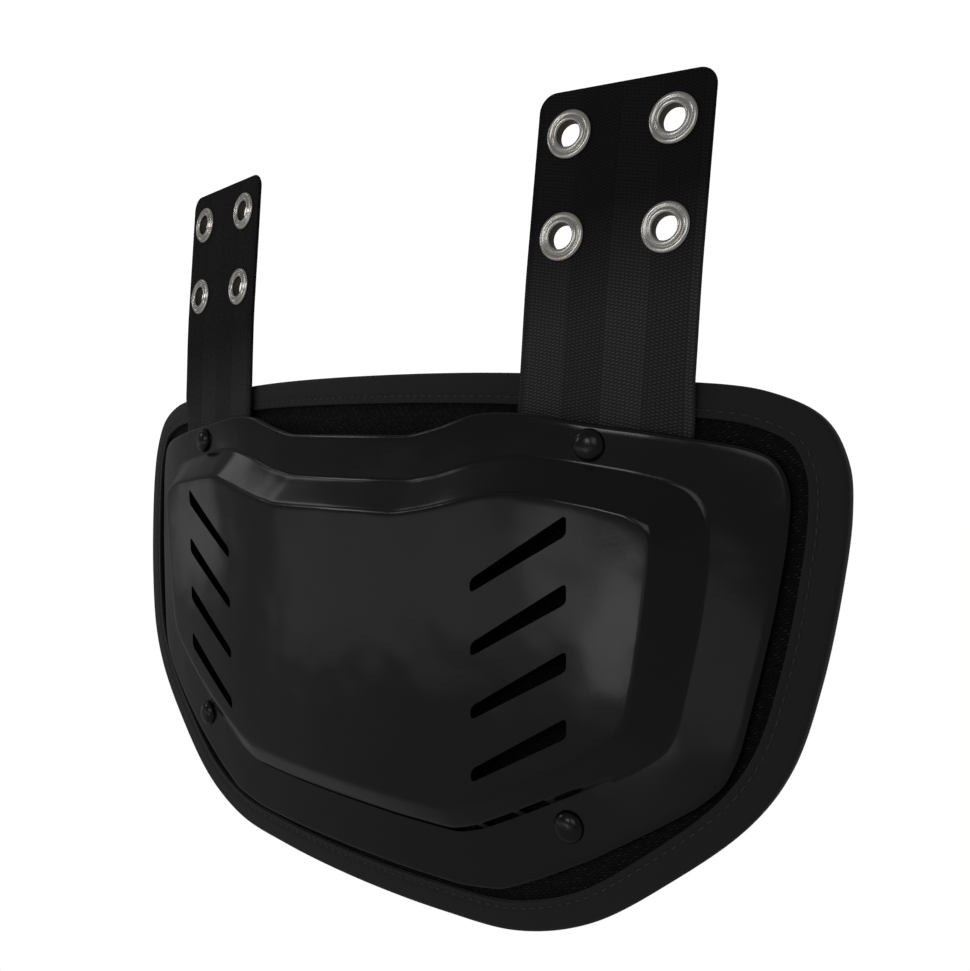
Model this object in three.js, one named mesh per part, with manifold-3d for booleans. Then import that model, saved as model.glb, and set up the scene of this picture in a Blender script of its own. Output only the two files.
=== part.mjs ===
// Football back plate: a curved foam pad with a bound edge and a coarse mesh face, a thin moulded
// shell riveted to it, and two wide webbing straps with eyelets, by which it hangs.
// Millimetres, +Z up, outer face towards -Y, +X to the right seen from outside. The origin lies
// midway between the two groups of eyelets, level with the outer faces of the straps.
// Most shapes are worked out in the rivet frame: z = 0 at the lower rivets, y = 0 at the rivets.

import * as THREE from 'three';
import { mergeVertices } from 'three/addons/utils/BufferGeometryUtils.js';
import Module from 'manifold-3d';

const wasm = await Module();
wasm.setup();

// Clearance between pieces that touch
const GAP = 0.3;

// Pad: overall width, height and lowest point, its curve round the back, tighter above than
// below, its lean and the slight curve of its height
const PAD_WIDTH = 295;
const PAD_HEIGHT = 159.3;
const PAD_LOW = -38;
const PAD_RADIUS = 728;
const PAD_TIGHTER_ABOVE = 0.0024;
const PAD_SET_BACK = -2;
const PAD_LEAN = 0.0188;
const PAD_UPRIGHT_RADIUS = 2083;
const FOAM_THICKNESS = 10;
const FOAM_EDGE = 2;
const FACING_THICKNESS = 1.2;

// Binding: wall, width on each face, the rounding of its front edge, and the slant of its back
const BINDING_WALL = 1.1;
const BINDING_WIDTH = 8.8;
const BINDING_ROUND = 0.8;
const RIM_SIDE = 1.7;
const RIM_SLANT = 3;

// Shell: overall width, height and lowest point, wall, and the bow of its flange
const SHELL_WIDTH = 270;
const SHELL_HEIGHT = 135.6;
const SHELL_LOW = -26.4;
const SHELL_WALL = 2.5;
const FLANGE_BOW = 5.2;
const FLANGE_BOW_GROWTH = 0.018;
const FLANGE_CURL = 0.115;
const BOW_HALF_WIDTH = 84.4;

// Raised middle of the shell: its width at the foot and at the face, and how far it stands forward
const FOOT_WIDTH = 231.2;
const FACE_WIDTH = 213.8;
const FACE_FORWARD = 11.7;
const FACE_LEAN = 0.0281;
const FACE_RADIUS = 514;
const FACE_CENTRE_HEIGHT = 40;
const FOOT_FILLET = 0.5;
const FOOT_FILLET_RUN = 0.8;

// Slots, four on each side, and the slit under the raised middle
const SLOT_COUNT = 4;
const SLOT_PITCH = 17.45;
const SLOT_OUTER_X = 84.6;
const SLOT_INNER_X = 55.2;
const SLOT_TOP_OUTER_Z = 80.1;
const SLOT_FALL = 18.3;
const SLOT_OUTER_HEIGHT = 5.4;
const SLOT_INNER_HEIGHT = 3.7;
const SLOT_CORNER = 1.2;
const SLIT_WIDTH = 1.7;
const SLIT_LIP = 2.5;
const SLIT_MIDDLE = 55.5;
const SLIT_BRIDGE = 2;
const SLIT_SIDE = 11.5;
const SLIT_END = 9;

// Rivets
const RIVET_HEAD = 8.8;
const RIVET_DOME = 2.2;
const RIVET_SHANK = 4;
const RIVET_TAIL = 8;
const RIVET_TAIL_THICKNESS = 1;
const UPPER_RIVET_X = 86.1;
const UPPER_RIVET_Z = 100.4;
const LOWER_RIVET_X = 82.1;
const LOWER_RIVET_Z = 0;

// Straps, and where they hang
const STRAP_WIDTH = 50.8;
const STRAP_THICKNESS = 1.6;
const STRAP_CORNER = 5;
const STRAP_ABOVE = 26;
const STRAP_BELOW = 82;
const STRAP_HALF_SPREAD = 87.4;
const STRAP_TURN = THREE.MathUtils.degToRad(7.3);
const STRAP_LEAN = THREE.MathUtils.degToRad(4.66);
const STRAP_SPLAY = THREE.MathUtils.degToRad(1.3);
const STRAP_BOW = 1.2;
const HANG_HEIGHT = 169.4;
const HANG_BACK = 8.6;

// Eyelets, two by two on each strap
const EYELET_OUTER = 13.4;
const EYELET_HOLE = 6.9;
const EYELET_BARREL_WALL = 0.5;
const EYELET_RIM = 1.1;
const EYELET_WASHER = 0.6;
const EYELET_PITCH_X = 29.9;
const EYELET_PITCH_Z = 27.6;

const BLACK_FABRIC = { color: 0x17171a, roughness: 0.9, metalness: 0 };
const FOAM_COVER = { color: 0x1b1b1e, roughness: 0.85, metalness: 0 };
const BLACK_MESH = { color: 0x0c0c0d, roughness: 1, metalness: 0 };
const BLACK_PLASTIC = { color: 0x101113, roughness: 0.32, metalness: 0 };
const BLACK_RIVET = { color: 0x08080a, roughness: 0.25, metalness: 0.2 };
const BLACK_WEBBING = { color: 0x121214, roughness: 0.75, metalness: 0 };
const BRIGHT_NICKEL = { color: 0xc9c5bd, roughness: 0.25, metalness: 1 };

// Right half of the pad's outline from the top centre round to the bottom centre:
// across as a share of the half width, up as a share of the height
const PAD_OUTLINE = [
  { across: 0, up: 1 },
  { across: 0.38, up: 0.994 },
  { across: 0.689, up: 0.974 },
  { across: 0.863, up: 0.954 },
  { across: 0.952, up: 0.913 },
  { across: 0.991, up: 0.847 },
  { across: 1, up: 0.774 },
  { across: 0.992, up: 0.663 },
  { across: 0.969, up: 0.52 },
  { across: 0.931, up: 0.39 },
  { across: 0.87, up: 0.296 },
  { across: 0.737, up: 0.18 },
  { across: 0.587, up: 0.075 },
  { across: 0.433, up: 0.021 },
  { across: 0.256, up: 0.006 },
  { across: 0, up: 0 },
];

// Right half of the shell, one row a section, from the top centre round to the bottom centre.
// Shares across are of the half widths of the edge, the foot and the face; shares up are of the
// shell's height; lip is the foot's height over the flange as a share of the slit's lip.
const SHELL_SECTIONS = [
  { edge: 0, edgeUp: 0.953, foot: 0, footUp: 0.845, face: 0, faceUp: 0.788, lip: 0 },
  { edge: 0.2, edgeUp: 0.953, foot: 0.234, footUp: 0.847, face: 0.262, faceUp: 0.788, lip: 0 },
  { edge: 0.281, edgeUp: 0.97, foot: 0.329, footUp: 0.861, face: 0.365, faceUp: 0.801, lip: 0 },
  { edge: 0.363, edgeUp: 0.995, foot: 0.433, footUp: 0.886, face: 0.489, faceUp: 0.823, lip: 0 },
  { edge: 0.422, edgeUp: 1, foot: 0.536, footUp: 0.904, face: 0.58, faceUp: 0.84, lip: 0 },
  { edge: 0.489, edgeUp: 0.997, foot: 0.597, footUp: 0.906, face: 0.639, faceUp: 0.844, lip: 0 },
  { edge: 0.63, edgeUp: 0.977, foot: 0.709, footUp: 0.895, face: 0.739, faceUp: 0.836, lip: 0 },
  { edge: 0.778, edgeUp: 0.959, foot: 0.839, footUp: 0.879, face: 0.861, faceUp: 0.823, lip: 0 },
  { edge: 0.919, edgeUp: 0.937, foot: 0.926, footUp: 0.863, face: 0.94, faceUp: 0.811, lip: 0 },
  { edge: 0.967, edgeUp: 0.92, foot: 0.975, footUp: 0.845, face: 0.987, faceUp: 0.792, lip: 0 },
  { edge: 0.989, edgeUp: 0.892, foot: 0.998, footUp: 0.81, face: 0.996, faceUp: 0.779, lip: 0 },
  { edge: 1, edgeUp: 0.844, foot: 1, footUp: 0.777, face: 1, faceUp: 0.748, lip: 0 },
  { edge: 0.995, edgeUp: 0.755, foot: 0.998, footUp: 0.696, face: 0.995, faceUp: 0.696, lip: 0 },
  { edge: 0.98, edgeUp: 0.637, foot: 0.986, footUp: 0.6, face: 0.981, faceUp: 0.608, lip: 0 },
  { edge: 0.956, edgeUp: 0.504, foot: 0.969, footUp: 0.512, face: 0.966, faceUp: 0.519, lip: 0 },
  { edge: 0.932, edgeUp: 0.386, foot: 0.952, footUp: 0.431, face: 0.949, faceUp: 0.445, lip: 0 },
  { edge: 0.907, edgeUp: 0.324, foot: 0.926, footUp: 0.379, face: 0.926, faceUp: 0.401, lip: 0 },
  { edge: 0.859, edgeUp: 0.277, foot: 0.861, footUp: 0.335, face: 0.851, faceUp: 0.357, lip: 0 },
  { edge: 0.776, edgeUp: 0.218, foot: 0.761, footUp: 0.288, face: 0.758, faceUp: 0.309, lip: 0.5 },
  { edge: 0.659, edgeUp: 0.139, foot: 0.666, footUp: 0.246, face: 0.669, faceUp: 0.272, lip: 1 },
  { edge: 0.548, edgeUp: 0.074, foot: 0.571, footUp: 0.201, face: 0.58, faceUp: 0.235, lip: 1 },
  { edge: 0.452, edgeUp: 0.025, foot: 0.467, footUp: 0.154, face: 0.477, faceUp: 0.198, lip: 1 },
  { edge: 0.348, edgeUp: 0.007, foot: 0.394, footUp: 0.133, face: 0.412, faceUp: 0.18, lip: 1 },
  { edge: 0.178, edgeUp: 0.001, foot: 0.208, footUp: 0.128, face: 0.225, faceUp: 0.175, lip: 1 },
  { edge: 0, edgeUp: 0, foot: 0, footUp: 0.127, face: 0, faceUp: 0.174, lip: 1 },
];

// Curved surfaces: each gives y at (x, z) in the rivet frame

function smoothStep(from, to, value) {
  return THREE.MathUtils.smoothstep(value, from, to);
}

function smoothMax(a, b, blend) {
  return 0.5 * (a + b + Math.hypot(a - b, blend));
}

function flange(x, z) {
  const share = (x / BOW_HALF_WIDTH) ** 2;
  return -(FLANGE_BOW + FLANGE_BOW_GROWTH * z) * (1 - share) * (1 + FLANGE_CURL * share);
}

function face(x, z) {
  return -FACE_FORWARD - FACE_LEAN * z + x ** 2 / (2 * FACE_RADIUS);
}

const SHELL_BACK = SHELL_WALL + GAP;
const STRAP_END_Z = HANG_HEIGHT - STRAP_BELOW;
const STRAP_ROOM = STRAP_THICKNESS + GAP;
const STRAP_ROOM_STARTS_Z = STRAP_END_Z - 14;
const STRAP_ROOM_FULL_Z = STRAP_END_Z - 2;
const STRAP_ROOM_FULL_X = STRAP_HALF_SPREAD + STRAP_WIDTH / 2 + 5;
const STRAP_ROOM_ENDS_X = STRAP_ROOM_FULL_X + 14;
const PAD_BLEND = 1;

// Front of the pad where nothing presses on it, as at its rim
function padFree(x, z) {
  const above = z - FACE_CENTRE_HEIGHT;
  const round = x ** 2 / (2 * PAD_RADIUS) * (1 + PAD_TIGHTER_ABOVE * above);
  return PAD_SET_BACK + PAD_LEAN * z + above ** 2 / (2 * PAD_UPRIGHT_RADIUS) + round;
}

// Front of the pad inside its rim: it is pressed back by the shell, and a little further where
// the straps end between the two
function padFront(x, z, tuck = 0) {
  const besideStraps = smoothStep(STRAP_ROOM_FULL_X, STRAP_ROOM_ENDS_X, Math.abs(x));
  const belowStraps = 1 - smoothStep(STRAP_ROOM_STARTS_Z, STRAP_ROOM_FULL_Z, z);
  const strapRoom = STRAP_ROOM * (1 - besideStraps) * (1 - belowStraps);
  const inShell = Math.min(Math.abs(x), SHELL_WIDTH / 2);
  const pressed = flange(inShell, z) + SHELL_BACK + strapRoom;
  return smoothMax(padFree(x, z) + tuck, pressed, PAD_BLEND);
}

// Outer face of a strap at (x, z), for the right strap: a flat plane above, pressed against the
// back of the flange below
const EYELET_ROOM = 5.6;
const STRAP_FREE_Z = HANG_HEIGHT - EYELET_PITCH_Z / 2 - EYELET_ROOM;
const STRAP_BOWED_Z = 108;
const STRAP_PRESSED_Z = 106;
const STRAP_RELEASED_Z = 118;

function strapPlane(x, z) {
  const across = Math.tan(STRAP_TURN) * (x - STRAP_HALF_SPREAD);
  return HANG_BACK + across + Math.tan(STRAP_LEAN) * (z - HANG_HEIGHT);
}

function strapFront(x, z) {
  const bow = STRAP_BOW * (1 - smoothStep(STRAP_BOWED_Z, STRAP_FREE_Z, z));
  const free = strapPlane(x, z) + bow;
  const release = smoothStep(STRAP_PRESSED_Z, STRAP_RELEASED_Z, z);
  const pressed = smoothMax(free, flange(x, z) + SHELL_BACK, PAD_BLEND);
  return THREE.MathUtils.lerp(pressed, free, release);
}

// Solids

const MERGE_DISTANCE = 1e-4;

function toSolid(geometry) {
  const bare = geometry.clone();
  bare.deleteAttribute('normal');
  bare.deleteAttribute('uv');
  const merged = mergeVertices(bare, MERGE_DISTANCE);
  const vertProperties = new Float32Array(merged.attributes.position.array);
  const triVerts = new Uint32Array(merged.index.array);
  return new wasm.Manifold(new wasm.Mesh({ numProp: 3, vertProperties, triVerts }));
}

function fromSolid(solid) {
  const mesh = solid.getMesh();
  const geometry = new THREE.BufferGeometry();
  geometry.setAttribute('position', new THREE.BufferAttribute(mesh.vertProperties, 3));
  geometry.setIndex(new THREE.BufferAttribute(mesh.triVerts, 1));
  return geometry;
}

function indexedGeometry(points, triangles) {
  let volume = 0;
  for (const [a, b, c] of triangles) {
    volume += points[a].dot(new THREE.Vector3().crossVectors(points[b], points[c]));
  }
  const order = volume > 0 ? triangles : triangles.map(([a, b, c]) => [a, c, b]);
  const geometry = new THREE.BufferGeometry().setFromPoints(points);
  geometry.setIndex(order.flat());
  return geometry;
}

// Each four-sided cell is split along its shorter diagonal as seen along Y, or past a tie along the
// one that reaches further out, so that parallel sheets are split alike
function diagonalReach(a, b) {
  return Math.max(Math.abs(a.x) + a.z / 2, Math.abs(b.x) + b.z / 2);
}

function splitsForward(near, nearNext, far, farNext) {
  const forward = Math.hypot(nearNext.x - far.x, nearNext.z - far.z);
  const backward = Math.hypot(near.x - farNext.x, near.z - farNext.z);
  if (Math.abs(forward - backward) > GAP / 10) {
    return forward < backward;
  }
  return diagonalReach(nearNext, far) > diagonalReach(near, farNext);
}

function bandTriangles(points, first, second, count) {
  const triangles = [];
  for (let i = 0; i < count; i += 1) {
    const next = (i + 1) % count;
    const cell = [first + i, first + next, second + i, second + next];
    const [near, nearNext, far, farNext] = cell;
    if (splitsForward(...cell.map((index) => points[index]))) {
      triangles.push([near, nearNext, far], [nearNext, farNext, far]);
    } else {
      triangles.push([near, nearNext, farNext], [near, farNext, far]);
    }
  }
  return triangles;
}

// A closed body through loops of equal counts, with a single point at each end
function bodyThroughLoops(start, loops, end) {
  const count = loops[0].length;
  const points = [start, ...loops.flat(), end];
  const last = 1 + (loops.length - 1) * count;
  const triangles = [];
  for (let i = 0; i < count; i += 1) {
    const next = (i + 1) % count;
    triangles.push([0, 1 + next, 1 + i]);
    triangles.push([last + i, last + next, points.length - 1]);
  }
  for (let k = 0; k < loops.length - 1; k += 1) {
    triangles.push(...bandTriangles(points, 1 + k * count, 1 + (k + 1) * count, count));
  }
  return indexedGeometry(points, triangles);
}

// A closed ring through loops, the last joined to the first
function ringThroughLoops(loops) {
  const count = loops[0].length;
  const points = loops.flat();
  const triangles = [];
  for (let k = 0; k < loops.length; k += 1) {
    triangles.push(...bandTriangles(points, k * count, ((k + 1) % loops.length) * count, count));
  }
  return indexedGeometry(points, triangles);
}

// A prism along Y whose section is a shape in X and Z
const PRISM_REACH = 60;
const CURVE_SEGMENTS = 3;

function prism(shape) {
  const geometry = new THREE.ExtrudeGeometry(shape, {
    depth: 2 * PRISM_REACH,
    bevelEnabled: false,
    curveSegments: CURVE_SEGMENTS,
  });
  geometry.rotateX(Math.PI / 2);
  geometry.translate(0, PRISM_REACH, 0);
  return toSolid(geometry);
}

function polygon(points) {
  return new THREE.Shape(points.map(([x, z]) => new THREE.Vector2(x, z)));
}

// A polygon whose corners are rounded by short curves
function roundedPolygon(corners, radius) {
  const shape = new THREE.Shape();
  corners.forEach((corner, i) => {
    const before = corners[(i + corners.length - 1) % corners.length];
    const after = corners[(i + 1) % corners.length];
    const from = corner.clone().lerp(before, Math.min(0.5, radius / corner.distanceTo(before)));
    const to = corner.clone().lerp(after, Math.min(0.5, radius / corner.distanceTo(after)));
    if (i === 0) {
      shape.moveTo(from.x, from.y);
    } else {
      shape.lineTo(from.x, from.y);
    }
    shape.quadraticCurveTo(corner.x, corner.y, to.x, to.y);
  });
  shape.closePath();
  return shape;
}

// A turned body about the Y axis from a closed profile of (radius, y) points
function turned(profile, sides) {
  const geometry = new THREE.LatheGeometry(
    profile.map(([radius, y]) => new THREE.Vector2(radius, y)),
    sides,
  );
  return fromSolid(toSolid(geometry));
}

function bar(radius, from, to, sides) {
  const geometry = new THREE.CylinderGeometry(radius, radius, to - from, sides);
  geometry.translate(0, (from + to) / 2, 0);
  return geometry;
}

function piece(name, geometry, finish) {
  const shown = geometry.index ? geometry.toNonIndexed() : geometry;
  shown.computeVertexNormals();
  const mesh = new THREE.Mesh(shown, new THREE.MeshStandardMaterial(finish));
  mesh.name = name;
  return mesh;
}

// Pad, facing and binding share one outline, sampled evenly, with its outward direction
const OUTLINE_COUNT = 56;
const PAD_CENTRE = new THREE.Vector2(0, FACE_CENTRE_HEIGHT);

function padOutline() {
  const half = PAD_OUTLINE.map(({ across, up }) => {
    return [across * PAD_WIDTH / 2, PAD_LOW + up * PAD_HEIGHT];
  });
  const left = half.slice(1, -1).reverse().map(([x, z]) => [-x, z]);
  const points = [...half, ...left].map(([x, z]) => new THREE.Vector3(x, z, 0));
  const curve = new THREE.CatmullRomCurve3(points, true, 'centripetal');
  return Array.from({ length: OUTLINE_COUNT }, (_, i) => {
    const share = i / OUTLINE_COUNT;
    const at = curve.getPointAt(share);
    const along = curve.getTangentAt(share);
    return { at: new THREE.Vector2(at.x, at.y), out: new THREE.Vector2(-along.y, along.x) };
  });
}

const OUTLINE = padOutline();

// A loop at a depth inside the outline, or a share of the way to the centre from there
function padLoop(inset, share, depthOf) {
  return OUTLINE.map(({ at, out }) => {
    const flat = at.clone().addScaledVector(out, -inset);
    flat.lerp(PAD_CENTRE, share);
    return new THREE.Vector3(flat.x, depthOf(flat.x, flat.y), flat.y);
  });
}

function padPole(depthOf) {
  return new THREE.Vector3(PAD_CENTRE.x, depthOf(PAD_CENTRE.x, PAD_CENTRE.y), PAD_CENTRE.y);
}

// Depths behind the pad's front at the rim, where the binding wraps facing and foam, and how far
// in from the outline the loops of each of them lie
const TUCK = BINDING_WALL + GAP;
const FOAM_FRONT = FACING_THICKNESS + GAP;
const FOAM_BACK = FOAM_FRONT + FOAM_THICKNESS;
const RIM_BACK = TUCK + FOAM_FRONT + FOAM_EDGE;
const BINDING_BACK = RIM_BACK + GAP + BINDING_WALL;
const SLANT_INSIDE = RIM_SLANT + 0.55 * BINDING_WALL;
const RIM_INSET = SLANT_INSIDE + GAP;
const BAND_INSET = BINDING_WIDTH + GAP;
const SEAT_INSET = BAND_INSET + GAP;
const FOAM_RISE = 5;
const FOAM_RISE_INSET = SEAT_INSET + FOAM_RISE;
const BODY_SHARES = [0.25, 0.62];

function behindRim(depth) {
  return (x, z) => padFree(x, z) + depth;
}

function behindFront(depth, tuck = 0) {
  return (x, z) => padFront(x, z, tuck) + depth;
}

// The loops of a front face: held at the rim, then behind the shell
function frontLoops(depth) {
  return [
    padLoop(RIM_INSET, 0, behindRim(TUCK + depth)),
    padLoop(BAND_INSET, 0, behindRim(TUCK + depth)),
    padLoop(SEAT_INSET, 0, behindFront(depth, TUCK)),
    padLoop(FOAM_RISE_INSET, 0, behindFront(depth)),
    ...BODY_SHARES.map((share) => padLoop(FOAM_RISE_INSET, share, behindFront(depth))),
  ];
}

function facingGeometry() {
  const front = frontLoops(0);
  const back = front.map((loop) => loop.map((p) => p.clone().setY(p.y + FACING_THICKNESS)));
  const start = padPole(behindFront(FACING_THICKNESS));
  return bodyThroughLoops(start, [...back.reverse(), ...front], padPole(behindFront(0)));
}

function foamGeometry() {
  const back = [
    padLoop(RIM_INSET, 0, behindRim(RIM_BACK)),
    padLoop(BAND_INSET, 0, behindRim(RIM_BACK)),
    padLoop(FOAM_RISE_INSET, 0, behindRim((RIM_BACK + FOAM_BACK) / 2)),
    ...BODY_SHARES.map((share) => padLoop(FOAM_RISE_INSET, share, behindRim(FOAM_BACK))),
  ];
  const loops = [...back.reverse(), ...frontLoops(FOAM_FRONT)];
  return bodyThroughLoops(padPole(behindRim(FOAM_BACK)), loops, padPole(behindFront(FOAM_FRONT)));
}

function bindingGeometry() {
  const section = [
    { inset: BINDING_WIDTH, depth: 0 },
    { inset: BINDING_ROUND, depth: 0 },
    { inset: 0, depth: BINDING_ROUND },
    { inset: 0, depth: RIM_SIDE },
    { inset: RIM_SLANT, depth: BINDING_BACK },
    { inset: BINDING_WIDTH, depth: BINDING_BACK },
    { inset: BINDING_WIDTH, depth: BINDING_BACK - BINDING_WALL },
    { inset: SLANT_INSIDE, depth: BINDING_BACK - BINDING_WALL },
    { inset: BINDING_WALL, depth: BINDING_WALL },
    { inset: BINDING_WIDTH, depth: BINDING_WALL },
  ];
  return ringThroughLoops(section.map(({ inset, depth }) => padLoop(inset, 0, behindRim(depth))));
}

// Rivets: place, axis square to the flange, and the length of the shank through what it holds
const SLOPE_STEP = 0.5;
const RIVET_SIDES = 12;
const CROWN = { radius: 0.6, rise: 0.85 };
const BROW = { radius: 1, rise: 0.2 };
const RIVET_PLACES = [
  { name: 'top', x: UPPER_RIVET_X, z: UPPER_RIVET_Z },
  { name: 'bottom', x: LOWER_RIVET_X, z: LOWER_RIVET_Z },
];

function rivetFrame(side, { x, z }) {
  const slopeX = (flange(x + SLOPE_STEP, z) - flange(x - SLOPE_STEP, z)) / (2 * SLOPE_STEP);
  const slopeZ = (flange(x, z + SLOPE_STEP) - flange(x, z - SLOPE_STEP)) / (2 * SLOPE_STEP);
  const axis = new THREE.Vector3(-side * slopeX, 1, -slopeZ).normalize();
  return {
    position: new THREE.Vector3(side * x, flange(x, z), z),
    quaternion: new THREE.Quaternion().setFromUnitVectors(new THREE.Vector3(0, 1, 0), axis),
    tail: padFront(x, z) - flange(x, z) + FACING_THICKNESS + 2 * GAP,
  };
}

function rivetGeometry(tail) {
  const head = RIVET_HEAD / 2;
  const shank = RIVET_SHANK / 2;
  const profile = [
    [0, -GAP - RIVET_DOME],
    [head * CROWN.radius, -GAP - RIVET_DOME * CROWN.rise],
    [head * BROW.radius, -GAP - RIVET_DOME * BROW.rise],
    [head, -GAP],
    [shank, -GAP],
    [shank, tail],
    [RIVET_TAIL / 2, tail],
    [RIVET_TAIL / 2, tail + RIVET_TAIL_THICKNESS],
    [0, tail + RIVET_TAIL_THICKNESS],
  ];
  return turned(profile, RIVET_SIDES);
}

// The bars that cut the rivets' holes, placed in the rivet frame
function rivetBars(radius, from, to) {
  const bars = [];
  for (const side of [-1, 1]) {
    for (const place of RIVET_PLACES) {
      const frame = rivetFrame(side, place);
      const geometry = bar(radius, from(frame), to(frame), RIVET_SIDES);
      geometry.applyQuaternion(frame.quaternion);
      geometry.translate(frame.position.x, frame.position.y, frame.position.z);
      bars.push(toSolid(geometry));
    }
  }
  return bars;
}

function withRivetHoles(solid) {
  const radius = RIVET_SHANK / 2 + GAP;
  const from = () => -RIVET_DOME;
  const to = (frame) => frame.tail + RIVET_TAIL_THICKNESS;
  return rivetBars(radius, from, to).reduce((cut, hole) => cut.subtract(hole), solid);
}

function withTailPockets(solid) {
  const radius = RIVET_TAIL / 2 + GAP;
  const from = (frame) => frame.tail - 2 * RIVET_TAIL_THICKNESS;
  const to = (frame) => frame.tail + RIVET_TAIL_THICKNESS + GAP;
  return rivetBars(radius, from, to).reduce((cut, pocket) => cut.subtract(pocket), solid);
}

// Shell: loops run from the middle of the face out to the edge and back behind
function shellRow(row) {
  const up = (share) => SHELL_LOW + share * SHELL_HEIGHT;
  const edge = new THREE.Vector2(row.edge * SHELL_WIDTH / 2, up(row.edgeUp));
  const foot = new THREE.Vector2(row.foot * FOOT_WIDTH / 2, up(row.footUp));
  const top = new THREE.Vector2(row.face * FACE_WIDTH / 2, up(row.faceUp));
  const lip = FOOT_FILLET + row.lip * (SLIT_LIP - FOOT_FILLET);
  const run = FOOT_FILLET_RUN + row.lip * (SLIT_WIDTH - FOOT_FILLET_RUN);
  return { edge, foot, top, lip, run };
}

function shellSections() {
  const rows = SHELL_SECTIONS.map(shellRow);
  rows.forEach((row, i) => {
    const before = rows[Math.max(i - 1, 0)].foot;
    const after = rows[Math.min(i + 1, rows.length - 1)].foot;
    const along = after.clone().sub(before).normalize();
    const out = new THREE.Vector2(-along.y, along.x);
    row.toe = row.foot.clone().addScaledVector(out, row.run);
    row.slit = row.foot.clone().addScaledVector(out, row.run / 2);
  });
  return rows;
}

const SECTIONS = shellSections();
const FACE_SHARES = [0.3, 0.65];

function aroundShell(pointOf) {
  const right = SECTIONS.map(pointOf);
  const left = right.slice(1, -1).reverse().map((p) => p.clone().setX(-p.x));
  return [...right, ...left];
}

function shellGeometry() {
  const onFlange = (flat) => new THREE.Vector3(flat.x, flange(flat.x, flat.y), flat.y);
  const onFace = (flat) => new THREE.Vector3(flat.x, face(flat.x, flat.y), flat.y);
  const inFace = (share) => (row) => onFace(row.top.clone().lerp(PAD_CENTRE, share));
  const onFoot = (row) => {
    const point = onFlange(row.foot);
    return point.setY(point.y - row.lip);
  };
  const front = [
    ...FACE_SHARES.toReversed().map((share) => aroundShell(inFace(share))),
    aroundShell(inFace(0)),
    aroundShell(onFoot),
    aroundShell((row) => onFlange(row.toe)),
    aroundShell((row) => onFlange(row.toe.clone().lerp(row.edge, 0.5))),
    aroundShell((row) => onFlange(row.edge)),
  ];
  const back = front.map((loop) => loop.map((p) => p.clone().setY(p.y + SHELL_WALL)));
  const start = onFace(PAD_CENTRE);
  const end = start.clone().setY(start.y + SHELL_WALL);
  return bodyThroughLoops(start, [...front, ...back.reverse()], end);
}

function slotShape(side, index) {
  const outerZ = SLOT_TOP_OUTER_Z - index * SLOT_PITCH;
  const innerZ = outerZ - SLOT_FALL;
  const outer = SLOT_OUTER_HEIGHT / 2;
  const inner = SLOT_INNER_HEIGHT / 2;
  const corners = [
    new THREE.Vector2(side * SLOT_INNER_X, innerZ - inner),
    new THREE.Vector2(side * SLOT_OUTER_X, outerZ - outer),
    new THREE.Vector2(side * SLOT_OUTER_X, outerZ + outer),
    new THREE.Vector2(side * SLOT_INNER_X, innerZ + inner),
  ];
  return roundedPolygon(side > 0 ? corners : corners.reverse(), SLOT_CORNER);
}

// The slit follows the foot of the raised middle, from the bottom centre outwards
function slitPath(side) {
  const path = new THREE.CurvePath();
  const points = SECTIONS.filter((row) => row.lip > FOOT_FILLET).map((row) => row.slit).reverse();
  for (let i = 0; i < points.length - 1; i += 1) {
    const from = new THREE.Vector2(side * points[i].x, points[i].y);
    const to = new THREE.Vector2(side * points[i + 1].x, points[i + 1].y);
    path.add(new THREE.LineCurve(from, to));
  }
  return path;
}

const SLIT_STEPS = 8;

function slitShape(path, from, to) {
  const total = path.getLength();
  const above = [];
  const below = [];
  for (let i = 0; i <= SLIT_STEPS; i += 1) {
    const share = THREE.MathUtils.lerp(from, to, i / SLIT_STEPS) / total;
    const at = path.getPointAt(Math.min(share, 1));
    const along = path.getTangentAt(Math.min(share, 1));
    above.push([at.x - along.y * SLIT_WIDTH / 2, at.y + along.x * SLIT_WIDTH / 2]);
    below.push([at.x + along.y * SLIT_WIDTH / 2, at.y - along.x * SLIT_WIDTH / 2]);
  }
  return polygon([...below, ...above.reverse()]);
}

function shellSolid() {
  let shell = withRivetHoles(toSolid(shellGeometry()));
  for (const side of [-1, 1]) {
    for (let index = 0; index < SLOT_COUNT; index += 1) {
      shell = shell.subtract(prism(slotShape(side, index)));
    }
    const path = slitPath(side);
    const sideStart = SLIT_MIDDLE + SLIT_BRIDGE;
    const endStart = sideStart + SLIT_SIDE + SLIT_BRIDGE;
    shell = shell.subtract(prism(slitShape(path, 0, SLIT_MIDDLE)));
    shell = shell.subtract(prism(slitShape(path, sideStart, sideStart + SLIT_SIDE)));
    shell = shell.subtract(prism(slitShape(path, endStart, endStart + SLIT_END)));
  }
  return shell;
}

// Straps: a woven sheet through rows of points, trimmed to its rounded outline
const STRAP_ROOM_AROUND = 4;
const STRAP_LOWEST_Z = STRAP_END_Z - STRAP_ROOM_AROUND;
const STRAP_HIGHEST_Z = HANG_HEIGHT + STRAP_ABOVE + STRAP_ROOM_AROUND;
const STRAP_BEND_SHARES = [0, 0.16, 0.28, 0.37, 0.46, 0.58, 0.76, 1];
const STRAP_ROWS = [
  ...STRAP_BEND_SHARES.map((share) => THREE.MathUtils.lerp(STRAP_LOWEST_Z, STRAP_FREE_Z, share)),
  STRAP_HIGHEST_Z,
];
const STRAP_COLUMNS = 4;

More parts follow.
